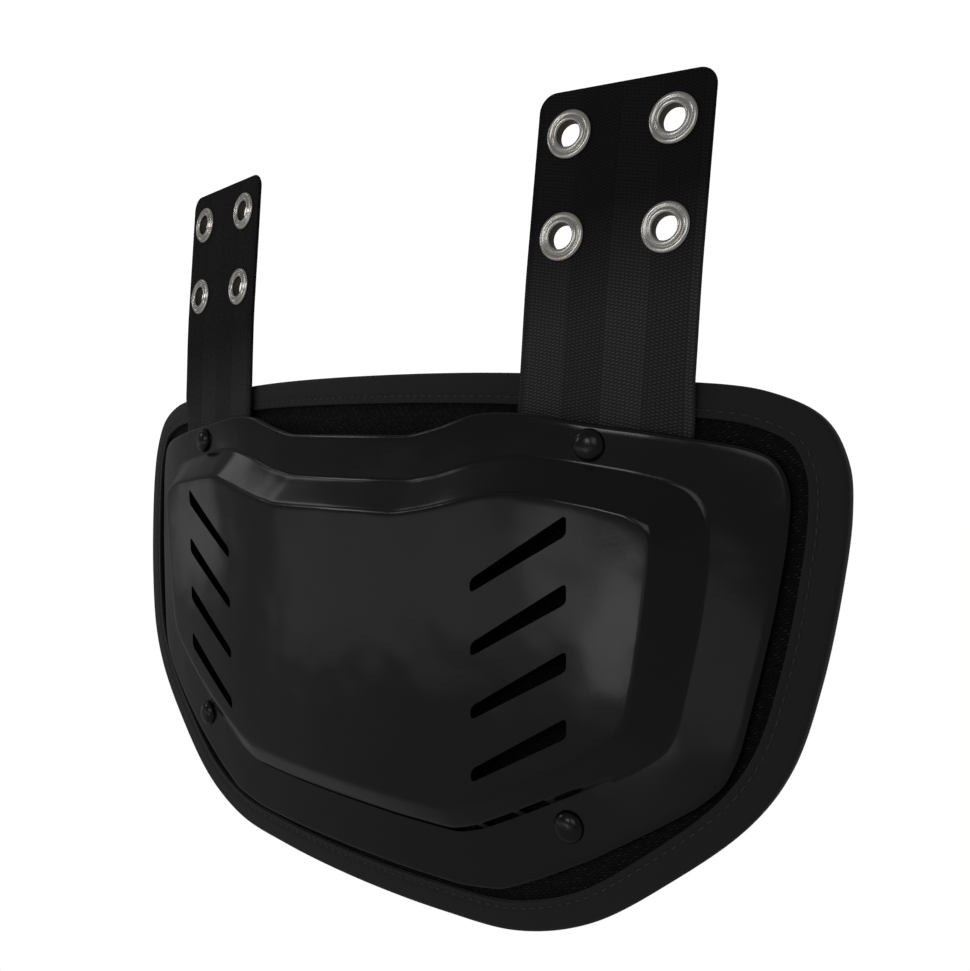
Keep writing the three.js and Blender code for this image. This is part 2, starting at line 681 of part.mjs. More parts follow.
function strapSheet() {
  const halfWidth = STRAP_WIDTH / 2 + STRAP_ROOM_AROUND;
  const loops = STRAP_ROWS.map((z) => {
    const front = [];
    for (let i = 0; i <= STRAP_COLUMNS; i += 1) {
      const x = STRAP_HALF_SPREAD + halfWidth * (2 * i / STRAP_COLUMNS - 1);
      front.push(new THREE.Vector3(x, strapFront(x, z), z));
    }
    const back = front.map((p) => p.clone().setY(p.y + STRAP_THICKNESS)).reverse();
    return [...front, ...back];
  });
  const middleOf = (loop) => {
    const sum = loop.reduce((total, p) => total.add(p), new THREE.Vector3());
    return sum.divideScalar(loop.length);
  };
  return toSolid(bodyThroughLoops(middleOf(loops[0]), loops, middleOf(loops.at(-1))));
}

function strapOutline() {
  const half = STRAP_WIDTH / 2 * Math.cos(STRAP_TURN);
  const top = STRAP_ABOVE * Math.cos(STRAP_LEAN);
  const bottom = -STRAP_BELOW;
  const shape = new THREE.Shape();
  shape.moveTo(-half, bottom);
  shape.lineTo(half, bottom);
  shape.lineTo(half, top - STRAP_CORNER);
  shape.absarc(half - STRAP_CORNER, top - STRAP_CORNER, STRAP_CORNER, 0, Math.PI / 2);
  shape.lineTo(STRAP_CORNER - half, top);
  shape.absarc(STRAP_CORNER - half, top - STRAP_CORNER, STRAP_CORNER, Math.PI / 2, Math.PI);
  shape.closePath();
  return shape;
}

// The frame of a strap's flat upper part: X across it, Y through it, Z up it
function strapFrame(side) {
  const slope = side * Math.tan(STRAP_TURN);
  const across = new THREE.Vector3(1, slope, 0).normalize();
  const through = new THREE.Vector3(-slope, 1, -Math.tan(STRAP_LEAN)).normalize();
  const up = new THREE.Vector3().crossVectors(across, through);
  const basis = new THREE.Matrix4().makeBasis(across, through, up);
  const turn = new THREE.Quaternion().setFromRotationMatrix(basis);
  const splay = new THREE.Quaternion().setFromAxisAngle(through, side * STRAP_SPLAY);
  const frame = new THREE.Group();
  frame.position.set(side * STRAP_HALF_SPREAD, HANG_BACK, HANG_HEIGHT);
  frame.quaternion.copy(splay.multiply(turn));
  return frame;
}

const EYELET_SIDES = 14;
const EYELET_SPOTS = [
  { across: -0.5, up: 0.5 },
  { across: 0.5, up: 0.5 },
  { across: -0.5, up: -0.5 },
  { across: 0.5, up: -0.5 },
];

function strapSolid(side) {
  const outline = prism(strapOutline())
    .rotate([0, THREE.MathUtils.radToDeg(STRAP_SPLAY), 0])
    .translate([STRAP_HALF_SPREAD, 0, HANG_HEIGHT]);
  let strap = strapSheet().intersect(outline);
  const hole = EYELET_HOLE / 2 + EYELET_BARREL_WALL + GAP;
  const reach = 3 * STRAP_THICKNESS;
  const frame = strapFrame(1);
  for (const { across, up } of EYELET_SPOTS) {
    const geometry = bar(hole, -reach, reach, EYELET_SIDES);
    geometry.translate(across * EYELET_PITCH_X, 0, up * EYELET_PITCH_Z);
    geometry.applyQuaternion(frame.quaternion);
    geometry.translate(frame.position.x, frame.position.y, frame.position.z);
    strap = strap.subtract(toSolid(geometry));
  }
  strap = withRivetHoles(strap);
  return side > 0 ? strap : strap.mirror([1, 0, 0]);
}

// An eyelet: rolled rim in front, barrel through the strap, washer behind
function eyeletGeometry() {
  const hole = EYELET_HOLE / 2;
  const barrel = hole + EYELET_BARREL_WALL;
  const outer = EYELET_OUTER / 2;
  const back = STRAP_THICKNESS + GAP;
  const mouth = -GAP - EYELET_RIM / 2;
  const profile = [
    [hole, mouth],
    [(hole + outer) / 2, -GAP - EYELET_RIM],
    [outer, -GAP],
    [barrel, -GAP],
    [barrel, back],
    [outer, back],
    [outer, back + EYELET_WASHER],
    [hole, back + EYELET_WASHER],
    [hole, mouth],
  ];
  return turned(profile, EYELET_SIDES);
}

// Assembly
const plate = new THREE.Group();
plate.position.set(0, -HANG_BACK, -HANG_HEIGHT);

plate.add(piece('foam_pad', fromSolid(withTailPockets(toSolid(foamGeometry()))), FOAM_COVER));
plate.add(piece('pad_binding', bindingGeometry(), BLACK_FABRIC));
plate.add(piece('mesh_facing', fromSolid(withRivetHoles(toSolid(facingGeometry()))), BLACK_MESH));
plate.add(piece('shell', fromSolid(shellSolid()), BLACK_PLASTIC));

for (const [side, label] of [[-1, 'left'], [1, 'right']]) {
  for (const place of RIVET_PLACES) {
    const frame = rivetFrame(side, place);
    const rivet = piece(`rivet_${label}_${place.name}`, rivetGeometry(frame.tail), BLACK_RIVET);
    rivet.position.copy(frame.position);
    rivet.quaternion.copy(frame.quaternion);
    plate.add(rivet);
  }
  plate.add(piece(`strap_${label}`, fromSolid(strapSolid(side)), BLACK_WEBBING));
  const frame = strapFrame(side);
  EYELET_SPOTS.forEach(({ across, up }, index) => {
    const eyelet = piece(`eyelet_${label}_${index + 1}`, eyeletGeometry(), BRIGHT_NICKEL);
    eyelet.position.set(across * EYELET_PITCH_X, 0, up * EYELET_PITCH_Z);
    frame.add(eyelet);
  });
  plate.add(frame);
}

const model = new THREE.Group();
model.add(plate);

export default model;
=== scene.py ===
import math

import bpy
import numpy as np
from mathutils import Matrix, Vector


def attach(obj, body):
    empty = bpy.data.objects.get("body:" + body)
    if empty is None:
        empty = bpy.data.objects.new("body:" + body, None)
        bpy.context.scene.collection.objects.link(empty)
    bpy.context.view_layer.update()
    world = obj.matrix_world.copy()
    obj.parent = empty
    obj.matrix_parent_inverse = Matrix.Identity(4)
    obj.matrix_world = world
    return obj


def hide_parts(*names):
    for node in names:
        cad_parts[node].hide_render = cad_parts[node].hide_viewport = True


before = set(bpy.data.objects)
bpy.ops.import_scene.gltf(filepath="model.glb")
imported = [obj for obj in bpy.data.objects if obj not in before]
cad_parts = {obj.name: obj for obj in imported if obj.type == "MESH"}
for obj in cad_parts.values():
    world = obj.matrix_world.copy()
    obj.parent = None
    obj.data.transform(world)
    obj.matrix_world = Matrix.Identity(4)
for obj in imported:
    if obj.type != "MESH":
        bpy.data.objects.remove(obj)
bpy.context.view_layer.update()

# The view and the room: the plate hangs before a white wall, over a white floor, and is seen from
# its outer right side. Soft square panels light it, each with its own power, so that the satin
# shell shows broad dim reflections and its rounded edges thin bright ones.
VIEW_TURN = math.radians(40.9)
VIEW_RISE = math.radians(2.4)
VIEW_ROLL = math.radians(0.7)
VIEW_PLACE = (0.2361, -0.2220, -0.0688)
VIEW_LENS = 37.45
VIEW_FILM_WIDTH = 36
VIEW_NEAREST = 0.01
FLOOR_HEIGHT = -0.5
FLOOR_SIDE = 12
FLOOR_GREY = 0.2
FLOOR_GLOW = 0.13
WALL_GLOW = 1.05
ROOM_LIGHT = 0.135
PANEL_AIM = Vector((0, 0, -0.12))
PANEL_AWAY = 1.3
PANELS = [
    # turned from the front to the right, raised, side of the square panel, power
    (-52, -9, 0.27, 0.054),
    (-40, -9, 0.27, 0.062),
    (-28, -9, 0.27, 0.073),
    (-16, -9, 0.2, 0.1),
    (-6, -12, 0.2, 0.18),
    (8, -9, 0.27, 0.06),
    (-28, -21, 0.27, 0.042),
    (-16, -21, 0.27, 0.032),
    (-40, -33, 0.27, 0.16),
    (-60, -22, 0.2, 0.06),
    (-74, -4, 0.2, 0.04),
    (-4, 15, 0.27, 0.65),
    (25, 20, 0.55, 0.75),
    (-52, 21, 0.22, 0.35),
    (-70, 34, 0.2, 0.12),
]

camera_data = bpy.data.cameras.new("camera")
camera_data.lens = VIEW_LENS
camera_data.sensor_width = VIEW_FILM_WIDTH
camera_data.clip_start = VIEW_NEAREST
camera = bpy.data.objects.new("camera", camera_data)
bpy.context.collection.objects.link(camera)
facing_turn = Matrix.Rotation(VIEW_TURN, 4, "Z") @ Matrix.Rotation(math.pi / 2 - VIEW_RISE, 4, "X")
camera.matrix_world = (
    Matrix.Translation(VIEW_PLACE) @ facing_turn @ Matrix.Rotation(VIEW_ROLL, 4, "Z")
)
bpy.context.scene.camera = camera
bpy.context.scene.view_settings.view_transform = "Standard"

for turn, rise, side, power in PANELS:
    panel = bpy.data.lights.new("panel", "AREA")
    panel.shape = "SQUARE"
    panel.size = side
    panel.energy = power
    holder = bpy.data.objects.new("panel", panel)
    bpy.context.collection.objects.link(holder)
    raised = Matrix.Rotation(math.radians(-rise), 3, "X")
    away = Matrix.Rotation(math.radians(turn), 3, "Z") @ raised @ Vector((0, -1, 0))
    toward = (-away).to_track_quat("-Z", "Y").to_matrix().to_4x4()
    holder.matrix_world = Matrix.Translation(PANEL_AIM + away * PANEL_AWAY) @ toward


def show_camera(tree, lit, seen, output):
    """Show one shader to the camera, and let the other meet all rays of light."""
    path = tree.nodes.new("ShaderNodeLightPath")
    mix = tree.nodes.new("ShaderNodeMixShader")
    tree.links.new(path.outputs["Is Camera Ray"], mix.inputs[0])
    tree.links.new(lit.outputs[0], mix.inputs[1])
    tree.links.new(seen.outputs[0], mix.inputs[2])
    tree.links.new(mix.outputs[0], output.inputs["Surface"])


room = bpy.data.worlds.new("room")
bpy.context.scene.world = room
room.use_nodes = True
room_nodes = room.node_tree.nodes
dim_light = room_nodes["Background"]
dim_light.inputs["Color"].default_value = (1, 1, 1, 1)
dim_light.inputs["Strength"].default_value = ROOM_LIGHT
wall = room_nodes.new("ShaderNodeBackground")
wall.inputs["Color"].default_value = (1, 1, 1, 1)
wall.inputs["Strength"].default_value = WALL_GLOW
show_camera(room.node_tree, dim_light, wall, room_nodes["World Output"])

bpy.ops.object.select_all(action="DESELECT")
bpy.ops.mesh.primitive_plane_add(size=FLOOR_SIDE, location=(0, 0, FLOOR_HEIGHT))
floor = bpy.context.object
floor.name = "floor"
floor_paint = bpy.data.materials.new("white_floor")
floor_paint.use_nodes = True
paint_nodes = floor_paint.node_tree.nodes
paint = paint_nodes["Principled BSDF"]
paint.inputs["Base Color"].default_value = (FLOOR_GREY, FLOOR_GREY, FLOOR_GREY, 1)
paint.inputs["Roughness"].default_value = 0.8
paint.inputs["Emission Color"].default_value = (1, 1, 1, 1)
paint.inputs["Emission Strength"].default_value = FLOOR_GLOW
white_paint = paint_nodes.new("ShaderNodeEmission")
show_camera(floor_paint.node_tree, paint, white_paint, paint_nodes["Material Output"])
floor.data.materials.append(floor_paint)

# Padded body: a sheet of soft foam, thinner at its rim, covered behind in a smooth black knit that
# lies against the wearer's back. It is moulded to a wide curve and leans with the shell, and its
# free back swells a little between the edges that hold it.
MM = 0.001
HANG_HEIGHT = 169.4
HANG_BACK = 8.6
PAD_WIDTH = 295
PAD_HEIGHT = 159.3
PAD_LOW = -38
PAD_RADIUS = 728
PAD_TIGHTER_ABOVE = 0.0024
PAD_SET_BACK = -2
PAD_LEAN = 0.0188
PAD_UPRIGHT_RADIUS = 2083
PAD_MIDDLE = np.array([0.0, 40.0])
FLANGE_FORWARD = 5.2
FLANGE_LEAN = 0.018
FLANGE_FLARE = 0.115
FLANGE_LEVEL_AT = 84.4
SHELL_WALL = 2.5
SHELL_HALF_WIDTH = 135
STRAP_THICKNESS = 1.6
STRAP_END_FROM, STRAP_END_TO = 73.4, 85.4
STRAP_SIDE_FROM, STRAP_SIDE_TO = 117.8, 131.8
CLEARANCE = 0.3
FACING_THICKNESS = 1.2
BINDING_WALL = 1.1
HELD_DEPTH = 7.5
OUTLINE_STEPS = 480
HELD_INSET = 10
SWELL_PRESSURE = 4
SWELL_STEPS = 20
SWELL_MOST = 0.0022
COVER_CELL = 0.0016
COVER_EASING = 6

# Right half of the pad's outline from the top middle round to the bottom middle: how far across
# as a share of the half width, how far up as a share of the height
PAD_OUTLINE = [
    (0, 1), (0.38, 0.994), (0.689, 0.974), (0.863, 0.954), (0.952, 0.913), (0.991, 0.847),
    (1, 0.774), (0.992, 0.663), (0.969, 0.52), (0.931, 0.39), (0.87, 0.297), (0.738, 0.18),
    (0.587, 0.075), (0.434, 0.021), (0.256, 0.006), (0, 0),
]


def smooth_step(low, high, value):
    share = np.clip((value - low) / (high - low), 0, 1)
    return share * share * (3 - 2 * share)


def smooth_max(a, b, blend):
    return (a + b + np.hypot(a - b, blend)) / 2


def flange_front(x, z):
    """Front of the shell's flat flange, in millimetres behind the rivets' line."""
    share = (x / FLANGE_LEVEL_AT) ** 2
    return -(FLANGE_FORWARD + FLANGE_LEAN * z) * (1 - share) * (1 + FLANGE_FLARE * share)


def pad_free(x, z):
    """Front of the pad where nothing presses on it, as at its rim."""
    above = z - PAD_MIDDLE[1]
    bend = x**2 / (2 * PAD_RADIUS) * (1 + PAD_TIGHTER_ABOVE * above)
    return PAD_SET_BACK + PAD_LEAN * z + above**2 / (2 * PAD_UPRIGHT_RADIUS) + bend


def pad_front(x, z, tuck=0):
    """Front of the pad inside its rim, set back where shell and straps press on it."""
    strap_room = (STRAP_THICKNESS + CLEARANCE) * smooth_step(STRAP_END_FROM, STRAP_END_TO, z)
    strap_room = strap_room * (1 - smooth_step(STRAP_SIDE_FROM, STRAP_SIDE_TO, np.abs(x)))
    flange = flange_front(np.minimum(np.abs(x), SHELL_HALF_WIDTH), z)
    pressed = flange + SHELL_WALL + CLEARANCE + strap_room
    return smooth_max(pad_free(x, z) + tuck, pressed, 1)


def in_metres(x, y, z):
    """Points in the frame, from millimetres counted from the rivets' line."""
    return np.stack([x, y - HANG_BACK, z - HANG_HEIGHT], axis=-1) * MM


def closed_curve(knots, count):
    """Points at even steps along a smooth closed curve through the knots."""
    steps = np.linspace(0, 1, 24, endpoint=False)[:, None]
    runs = []
    for i in range(len(knots)):
        a, b, c, d = (knots[(i + k) % len(knots)] for k in (-1, 0, 1, 2))
        ta = 0
        tb = ta + np.linalg.norm(b - a) ** 0.5
        tc = tb + np.linalg.norm(c - b) ** 0.5
        td = tc + np.linalg.norm(d - c) ** 0.5
        t = tb + (tc - tb) * steps
        ab = ((tb - t) * a + (t - ta) * b) / (tb - ta)
        bc = ((tc - t) * b + (t - tb) * c) / (tc - tb)
        cd = ((td - t) * c + (t - tc) * d) / (td - tc)
        abc = ((tc - t) * ab + (t - ta) * bc) / (tc - ta)
        bcd = ((td - t) * bc + (t - tb) * cd) / (td - tb)
        runs.append(((tc - t) * abc + (t - tb) * bcd) / (tc - tb))
    line = np.vstack([*runs, runs[0][:1]])
    length = np.concatenate([[0], np.cumsum(np.linalg.norm(np.diff(line, axis=0), axis=1))])
    even = np.linspace(0, length[-1], count, endpoint=False)
    return np.stack([np.interp(even, length, line[:, k]) for k in (0, 1)], axis=1)


def outward_of(line):
    """Unit directions square to a closed line that runs clockwise, pointing out of it."""
    along = np.roll(line, -1, axis=0) - np.roll(line, 1, axis=0)
    along /= np.linalg.norm(along, axis=1)[:, None]
    return np.stack([-along[:, 1], along[:, 0]], axis=1)


right_half = [(a * PAD_WIDTH / 2, PAD_LOW + u * PAD_HEIGHT) for a, u in PAD_OUTLINE]
left_half = [(-x, z) for x, z in right_half[-2:0:-1]]
outline = closed_curve(np.array(right_half + left_half), OUTLINE_STEPS)
outward = outward_of(outline)


def pad_loop(inset, depth, share=0, front=pad_front):
    """A loop at a depth behind the pad's front, in from the outline, or part of the way inside."""
    flat = outline - outward * np.reshape(inset, (-1, 1))
    flat = flat + (PAD_MIDDLE - flat) * share
    x, z = flat[:, 0], flat[:, 1]
    return in_metres(x, front(x, z) + depth, z)


def pick(*pieces):
    """Select these pieces alone, with the first as the active one."""
    bpy.ops.object.select_all(action="DESELECT")
    for piece in pieces:
        piece.select_set(True)
    bpy.context.view_layer.objects.active = pieces[0]


def dress(piece, *materials):
    """Give a piece its materials, in place of any that it had."""
    piece.data.materials.clear()
    for material in materials:
        piece.data.materials.append(material)


def finish_with(piece, kind, **settings):
    """Add one modifier to a piece and apply it."""
    modifier = piece.modifiers.new(kind.lower(), kind)
    for name, value in settings.items():
        setattr(modifier, name, value)
    bpy.context.view_layer.objects.active = piece
    bpy.ops.object.modifier_apply(modifier=modifier.name)


def add_node(tree, kind, *feeds, **settings):
    """A node whose inputs, in their order, are fed by sockets or set to values; None is left."""
    made = tree.nodes.new(kind)
    for name, value in settings.items():
        setattr(made, name, value)
    for socket, feed in zip(made.inputs, feeds):
        if isinstance(feed, bpy.types.NodeSocket):
            tree.links.new(feed, socket)
        elif feed is not None:
            socket.default_value = feed
    return made


def calc(tree, operation, *feeds):
    return add_node(tree, "ShaderNodeMath", *feeds, operation=operation).outputs[0]


def noise(tree, place, scale, detail):
    """Cloudy noise from 0 to 1 that fills the space round a piece."""
    return add_node(tree, "ShaderNodeTexNoise", place, None, scale, detail).outputs["Fac"]


def between(tree, share, low, high):
    """A colour part of the way from low to high."""
    mix = tree.nodes.new("ShaderNodeMix")
    mix.data_type = "RGBA"
    tree.links.new(share, mix.inputs[0])
    mix.inputs[6].default_value = (*low, 1)
    mix.inputs[7].default_value = (*high, 1)
    return mix.outputs[2]


def new_material(name, colour, roughness, **constants):
    """A material with a plain colour and finish, ready for its pattern."""
    material = bpy.data.materials.new(name)
    material.use_nodes = True
    shader = material.node_tree.nodes["Principled BSDF"]
    shader.inputs["Base Color"].default_value = (*colour, 1)
    shader.inputs["Roughness"].default_value = roughness
    for socket, value in constants.items():
        shader.inputs[socket.replace("_", " ")].default_value = value
    return material


def feed(material, socket, source):
    shader = material.node_tree.nodes["Principled BSDF"]
    material.node_tree.links.new(source, shader.inputs[socket])


def raise_surface(material, height, distance, strength=1.0):
    """Let a height pattern raise the surface by a distance."""
    bump = material.node_tree.nodes.new("ShaderNodeBump")
    bump.inputs["Strength"].default_value = strength
    bump.inputs["Distance"].default_value = distance
    material.node_tree.links.new(height, bump.inputs["Height"])
    feed(material, "Normal", bump.outputs[0])


# The weave: threads crossing over and under, as a height and as the lightness of each thread
weave = bpy.data.node_groups.new("thread_weave", "ShaderNodeTree")
for socket in ("Across", "Along", "Pitch Across", "Pitch Along", "Slant"):
    weave.interface.new_socket(name=socket, in_out="INPUT", socket_type="NodeSocketFloat")
for socket in ("Height", "Thread"):
    weave.interface.new_socket(name=socket, in_out="OUTPUT", socket_type="NodeSocketFloat")
weave_in = weave.nodes.new("NodeGroupInput").outputs
weave_out = weave.nodes.new("NodeGroupOutput").inputs
column = calc(weave, "DIVIDE", weave_in["Across"], weave_in["Pitch Across"])
row = calc(weave, "DIVIDE", weave_in["Along"], weave_in["Pitch Along"])
slanted = calc(weave, "MULTIPLY_ADD", column, weave_in["Slant"], row)
half_step = calc(weave, "MULTIPLY", calc(weave, "FLOOR", column), 0.5)
turn_in = calc(weave, "MULTIPLY", calc(weave, "ADD", slanted, half_step), 2 * math.pi)
over = calc(weave, "MULTIPLY_ADD", calc(weave, "SINE", turn_in), 0.5, 0.5)
rounded = calc(weave, "ABSOLUTE", calc(weave, "SINE", calc(weave, "MULTIPLY", column, math.pi)))
thread_height = calc(weave, "MULTIPLY", over, calc(weave, "POWER", rounded, 0.6))
weave.links.new(thread_height, weave_out["Height"])
ends = add_node(
    weave, "ShaderNodeCombineXYZ", calc(weave, "FLOOR", column), calc(weave, "FLOOR", slanted)
)
tone = add_node(weave, "ShaderNodeTexWhiteNoise", ends.outputs[0], noise_dimensions="2D")
weave.links.new(tone.outputs["Value"], weave_out["Thread"])


def weave_on(material, pattern_axes, across, along, slant=0.0):
    """Put the weave on a material; the pattern axes give the two coordinates that it runs along."""
    tree = material.node_tree
    group = tree.nodes.new("ShaderNodeGroup")
    group.node_tree = weave
    for socket, source in zip(("Across", "Along"), pattern_axes):
        tree.links.new(source, group.inputs[socket])
    group.inputs["Pitch Across"].default_value = across
    group.inputs["Pitch Along"].default_value = along
    if isinstance(slant, bpy.types.NodeSocket):
        tree.links.new(slant, group.inputs["Slant"])
    else:
        group.inputs["Slant"].default_value = slant
    return group.outputs


def object_axes(material):
    """The object's own place and its X, Y and Z, for a pattern that stays on the piece."""
    tree = material.node_tree
    where = tree.nodes.new("ShaderNodeTexCoord").outputs["Object"]
    return where, add_node(tree, "ShaderNodeSeparateXYZ", where).outputs


knit_cover = new_material("knit_cover", (0.012, 0.012, 0.0135), 0.85, Sheen_Weight=0.25)
knit_tree = knit_cover.node_tree
cover_axes = object_axes(knit_cover)[1]
cover_chart = (cover_axes[0], cover_axes[2])
cover_weave = weave_on(knit_cover, cover_chart, across=0.0012, along=0.0016, slant=0.5)
raise_surface(knit_cover, cover_weave["Height"], distance=0.00025, strength=0.7)
cover_tone = between(knit_tree, cover_weave["Thread"], (0.008, 0.008, 0.009), (0.018, 0.018, 0.02))
feed(knit_cover, "Base Color", cover_tone)

foam_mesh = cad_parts["foam_pad"].data.copy()
padded_body = bpy.data.objects.new("padded_body", foam_mesh)
bpy.context.collection.objects.link(padded_body)
pick(padded_body)
bpy.ops.object.mode_set(mode="EDIT")
bpy.ops.mesh.select_all(action="SELECT")
bpy.ops.mesh.remove_doubles(threshold=1e-6)
bpy.ops.object.mode_set(mode="OBJECT")
finish_with(padded_body, "REMESH", mode="VOXEL", voxel_size=COVER_CELL)

still = np.array([v.co for v in padded_body.data.vertices])
x_mm = still[:, 0] / MM
y_mm = still[:, 1] / MM + HANG_BACK
z_mm = still[:, 2] / MM + HANG_HEIGHT
reach = np.hypot(x_mm[:, None] - outline[:, 0], z_mm[:, None] - outline[:, 1]).min(axis=1)
held = (reach < HELD_INSET) | (y_mm - pad_free(x_mm, z_mm) < HELD_DEPTH)
held_group = padded_body.vertex_groups.new(name="held")
held_group.add(np.flatnonzero(held).tolist(), 1.0, "REPLACE")
cloth = padded_body.modifiers.new("cloth", "CLOTH")
cloth.settings.vertex_group_mass = "held"
cloth.settings.use_pressure = True
cloth.settings.uniform_pressure_force = SWELL_PRESSURE
cloth.settings.effector_weights.gravity = 0
for step in range(1, SWELL_STEPS + 1):
    bpy.context.scene.frame_set(step)
settled = padded_body.evaluated_get(bpy.context.evaluated_depsgraph_get()).to_mesh()
moved = np.array([v.co for v in settled.vertices]) - still
padded_body.modifiers.remove(cloth)
far = np.linalg.norm(moved, axis=1, keepdims=True)
capped = still + moved * np.minimum(1, SWELL_MOST / np.maximum(far, 1e-9))
padded_body.data.vertices.foreach_set("co", capped.astype(np.float32).ravel())
bpy.context.scene.frame_set(1)
finish_with(padded_body, "SMOOTH", factor=0.5, iterations=COVER_EASING)
bpy.ops.object.shade_smooth()
dress(padded_body, knit_cover)
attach(padded_body, "root")
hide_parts("foam_pad")

# Mesh facing: a coarse black knitted mesh glued over the front of the foam. It shows as a dark
# rough border round the shell and at the bottom of its slots, and its edge is under the binding.
FACING_TUCK = 1.4
FACING_INSET = 3.9
FACING_INSET_MIDDLE = 6.5
FACING_RISE_FROM = 9.1
FACING_RISE_TO = 14.4
RIVET_HOLE = 2.3


def lay_through(name, loops, ring=False, chart=None):
    """A grid laid through closed loops of points and merged along its seams and ends.
    A ring's last loop meets its first; a chart gives each point its place in the flat pattern."""
    if ring:
        loops = [*loops, loops[0]]
    points = np.array([np.vstack([loop, loop[:1]]) for loop in loops])
    rows, columns = len(points) - 1, len(points[0]) - 1
    bpy.ops.object.select_all(action="DESELECT")
    bpy.ops.mesh.primitive_grid_add(x_subdivisions=columns, y_subdivisions=rows, size=1)
    piece = bpy.context.object
    piece.name = piece.data.name = name
    piece.data.vertices.foreach_set("co", points.astype(np.float32).ravel())
    if chart is not None:
        corners = np.empty(len(piece.data.loops), np.int32)
        piece.data.loops.foreach_get("vertex_index", corners)
        spots = np.array([np.vstack([loop, loop[:1]]) for loop in chart]).reshape(-1, 2)
        piece.data.uv_layers[0].data.foreach_set("uv", spots[corners].astype(np.float32).ravel())
    bpy.ops.object.mode_set(mode="EDIT")
    bpy.ops.mesh.select_all(action="SELECT")
    bpy.ops.mesh.remove_doubles(threshold=1e-6)
    bpy.ops.mesh.normals_make_consistent(inside=False)
    bpy.ops.object.mode_set(mode="OBJECT")
    bpy.ops.object.shade_smooth()
    return piece


def rivet_matrix(side, x, z):
    """The place of a rivet, with Z along its shank, square to the flange and pointing behind."""
    slope_x = (flange_front(x + 0.5, z) - flange_front(x - 0.5, z)) * side
    slope_z = flange_front(x, z + 0.5) - flange_front(x, z - 0.5)
    axis = Vector((-slope_x, 1, -slope_z))
    at = Vector(in_metres(np.float64(side * x), flange_front(x, z), np.float64(z)))
    return Matrix.Translation(at) @ axis.to_track_quat("Z", "Y").to_matrix().to_4x4()


RIVETS = {
    f"rivet_{label}_{level}": rivet_matrix(side, x, z)
    for side, label in ((-1, "left"), (1, "right"))
    for level, x, z in (("top", 86.1, 100.4), ("bottom", 82.1, 0.0))
}


def bar(radius, reach, place):
    """A plain round bar along Z of its place, to cut a hole with."""
    bpy.ops.object.select_all(action="DESELECT")
    bpy.ops.mesh.primitive_cylinder_add(vertices=32, radius=radius * MM, depth=2 * reach * MM)
    bpy.context.object.data.transform(place)
    return bpy.context.object


def cut_away(piece, cutters):
    """Cut all the cutters out of a piece, and remove them."""
    for cutter in cutters:
        piece_cut = piece.modifiers.new("cut", "BOOLEAN")
        piece_cut.solver = "EXACT"
        piece_cut.operation = "DIFFERENCE"
        piece_cut.object = cutter
        bpy.context.view_layer.objects.active = piece
        bpy.ops.object.modifier_apply(modifier=piece_cut.name)
    for cutter in cutters:
        bpy.data.objects.remove(cutter)


def joined(parts):
    pick(*parts)
    bpy.ops.object.join()
    return parts[0]


open_mesh = new_material("open_mesh", (0.004, 0.004, 0.0045), 0.8, Specular_IOR_Level=0.3)
mesh_tree = open_mesh.node_tree
mesh_place, mesh_axes = object_axes(open_mesh)
ripple = noise(mesh_tree, mesh_place, scale=160.0, detail=2.0)
wander = calc(mesh_tree, "MULTIPLY_ADD", ripple, 0.0016, -0.0008)
rising = calc(mesh_tree, "ADD", calc(mesh_tree, "ADD", mesh_axes[0], mesh_axes[2]), wander)
falling = calc(mesh_tree, "SUBTRACT", mesh_axes[2], mesh_axes[0])
falling = calc(mesh_tree, "SUBTRACT", falling, wander)
mesh_weave = weave_on(open_mesh, (falling, rising), across=0.0013, along=0.0026, slant=0.5)
raise_surface(open_mesh, mesh_weave["Height"], distance=0.0007)
# Painted highlights: light flecks on the raised tops of the mesh's threads, stronger on some
# threads than others.
tops = calc(mesh_tree, "POWER", mesh_weave["Height"], 4.0)
painted_highlight_flecks = calc(mesh_tree, "MULTIPLY", tops, calc(mesh_tree, "POWER", mesh_weave["Thread"], 1.5))
mesh_tone = between(mesh_tree, painted_highlight_flecks, (0.0055, 0.0055, 0.0058), (0.07, 0.07, 0.072))
feed(open_mesh, "Base Color", mesh_tone)

INNER_SHARES = (0.08, 0.2, 0.35, 0.5, 0.65, 0.8, 0.92, 1)


def facing_loop(inset, share=0):
    """A loop of the facing inside the binding: it rises from its tucked rim to the pad's front."""
    tuck = FACING_TUCK * (1 - smooth_step(FACING_RISE_FROM, FACING_RISE_TO, inset))
    return pad_loop(inset, 0, share, lambda x, z: pad_front(x, z, tuck))


facing_front = [
    *[
        pad_loop(inset, FACING_TUCK, front=pad_free)
        for inset in (FACING_INSET, FACING_INSET_MIDDLE, FACING_RISE_FROM)
    ],
    *[facing_loop(inset) for inset in np.linspace(FACING_RISE_FROM + 0.3, FACING_RISE_TO, 6)],
    *[facing_loop(FACING_RISE_TO, share) for share in INNER_SHARES],
]
facing_back = [loop + np.array([0, FACING_THICKNESS * MM, 0]) for loop in facing_front]
mesh_facing = lay_through("coarse_mesh_facing", [*facing_back[::-1], *facing_front])
cut_away(mesh_facing, [joined([bar(RIVET_HOLE, 30, place) for place in RIVETS.values()])])
dress(mesh_facing, open_mesh)
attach(mesh_facing, "root")
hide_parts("mesh_facing")

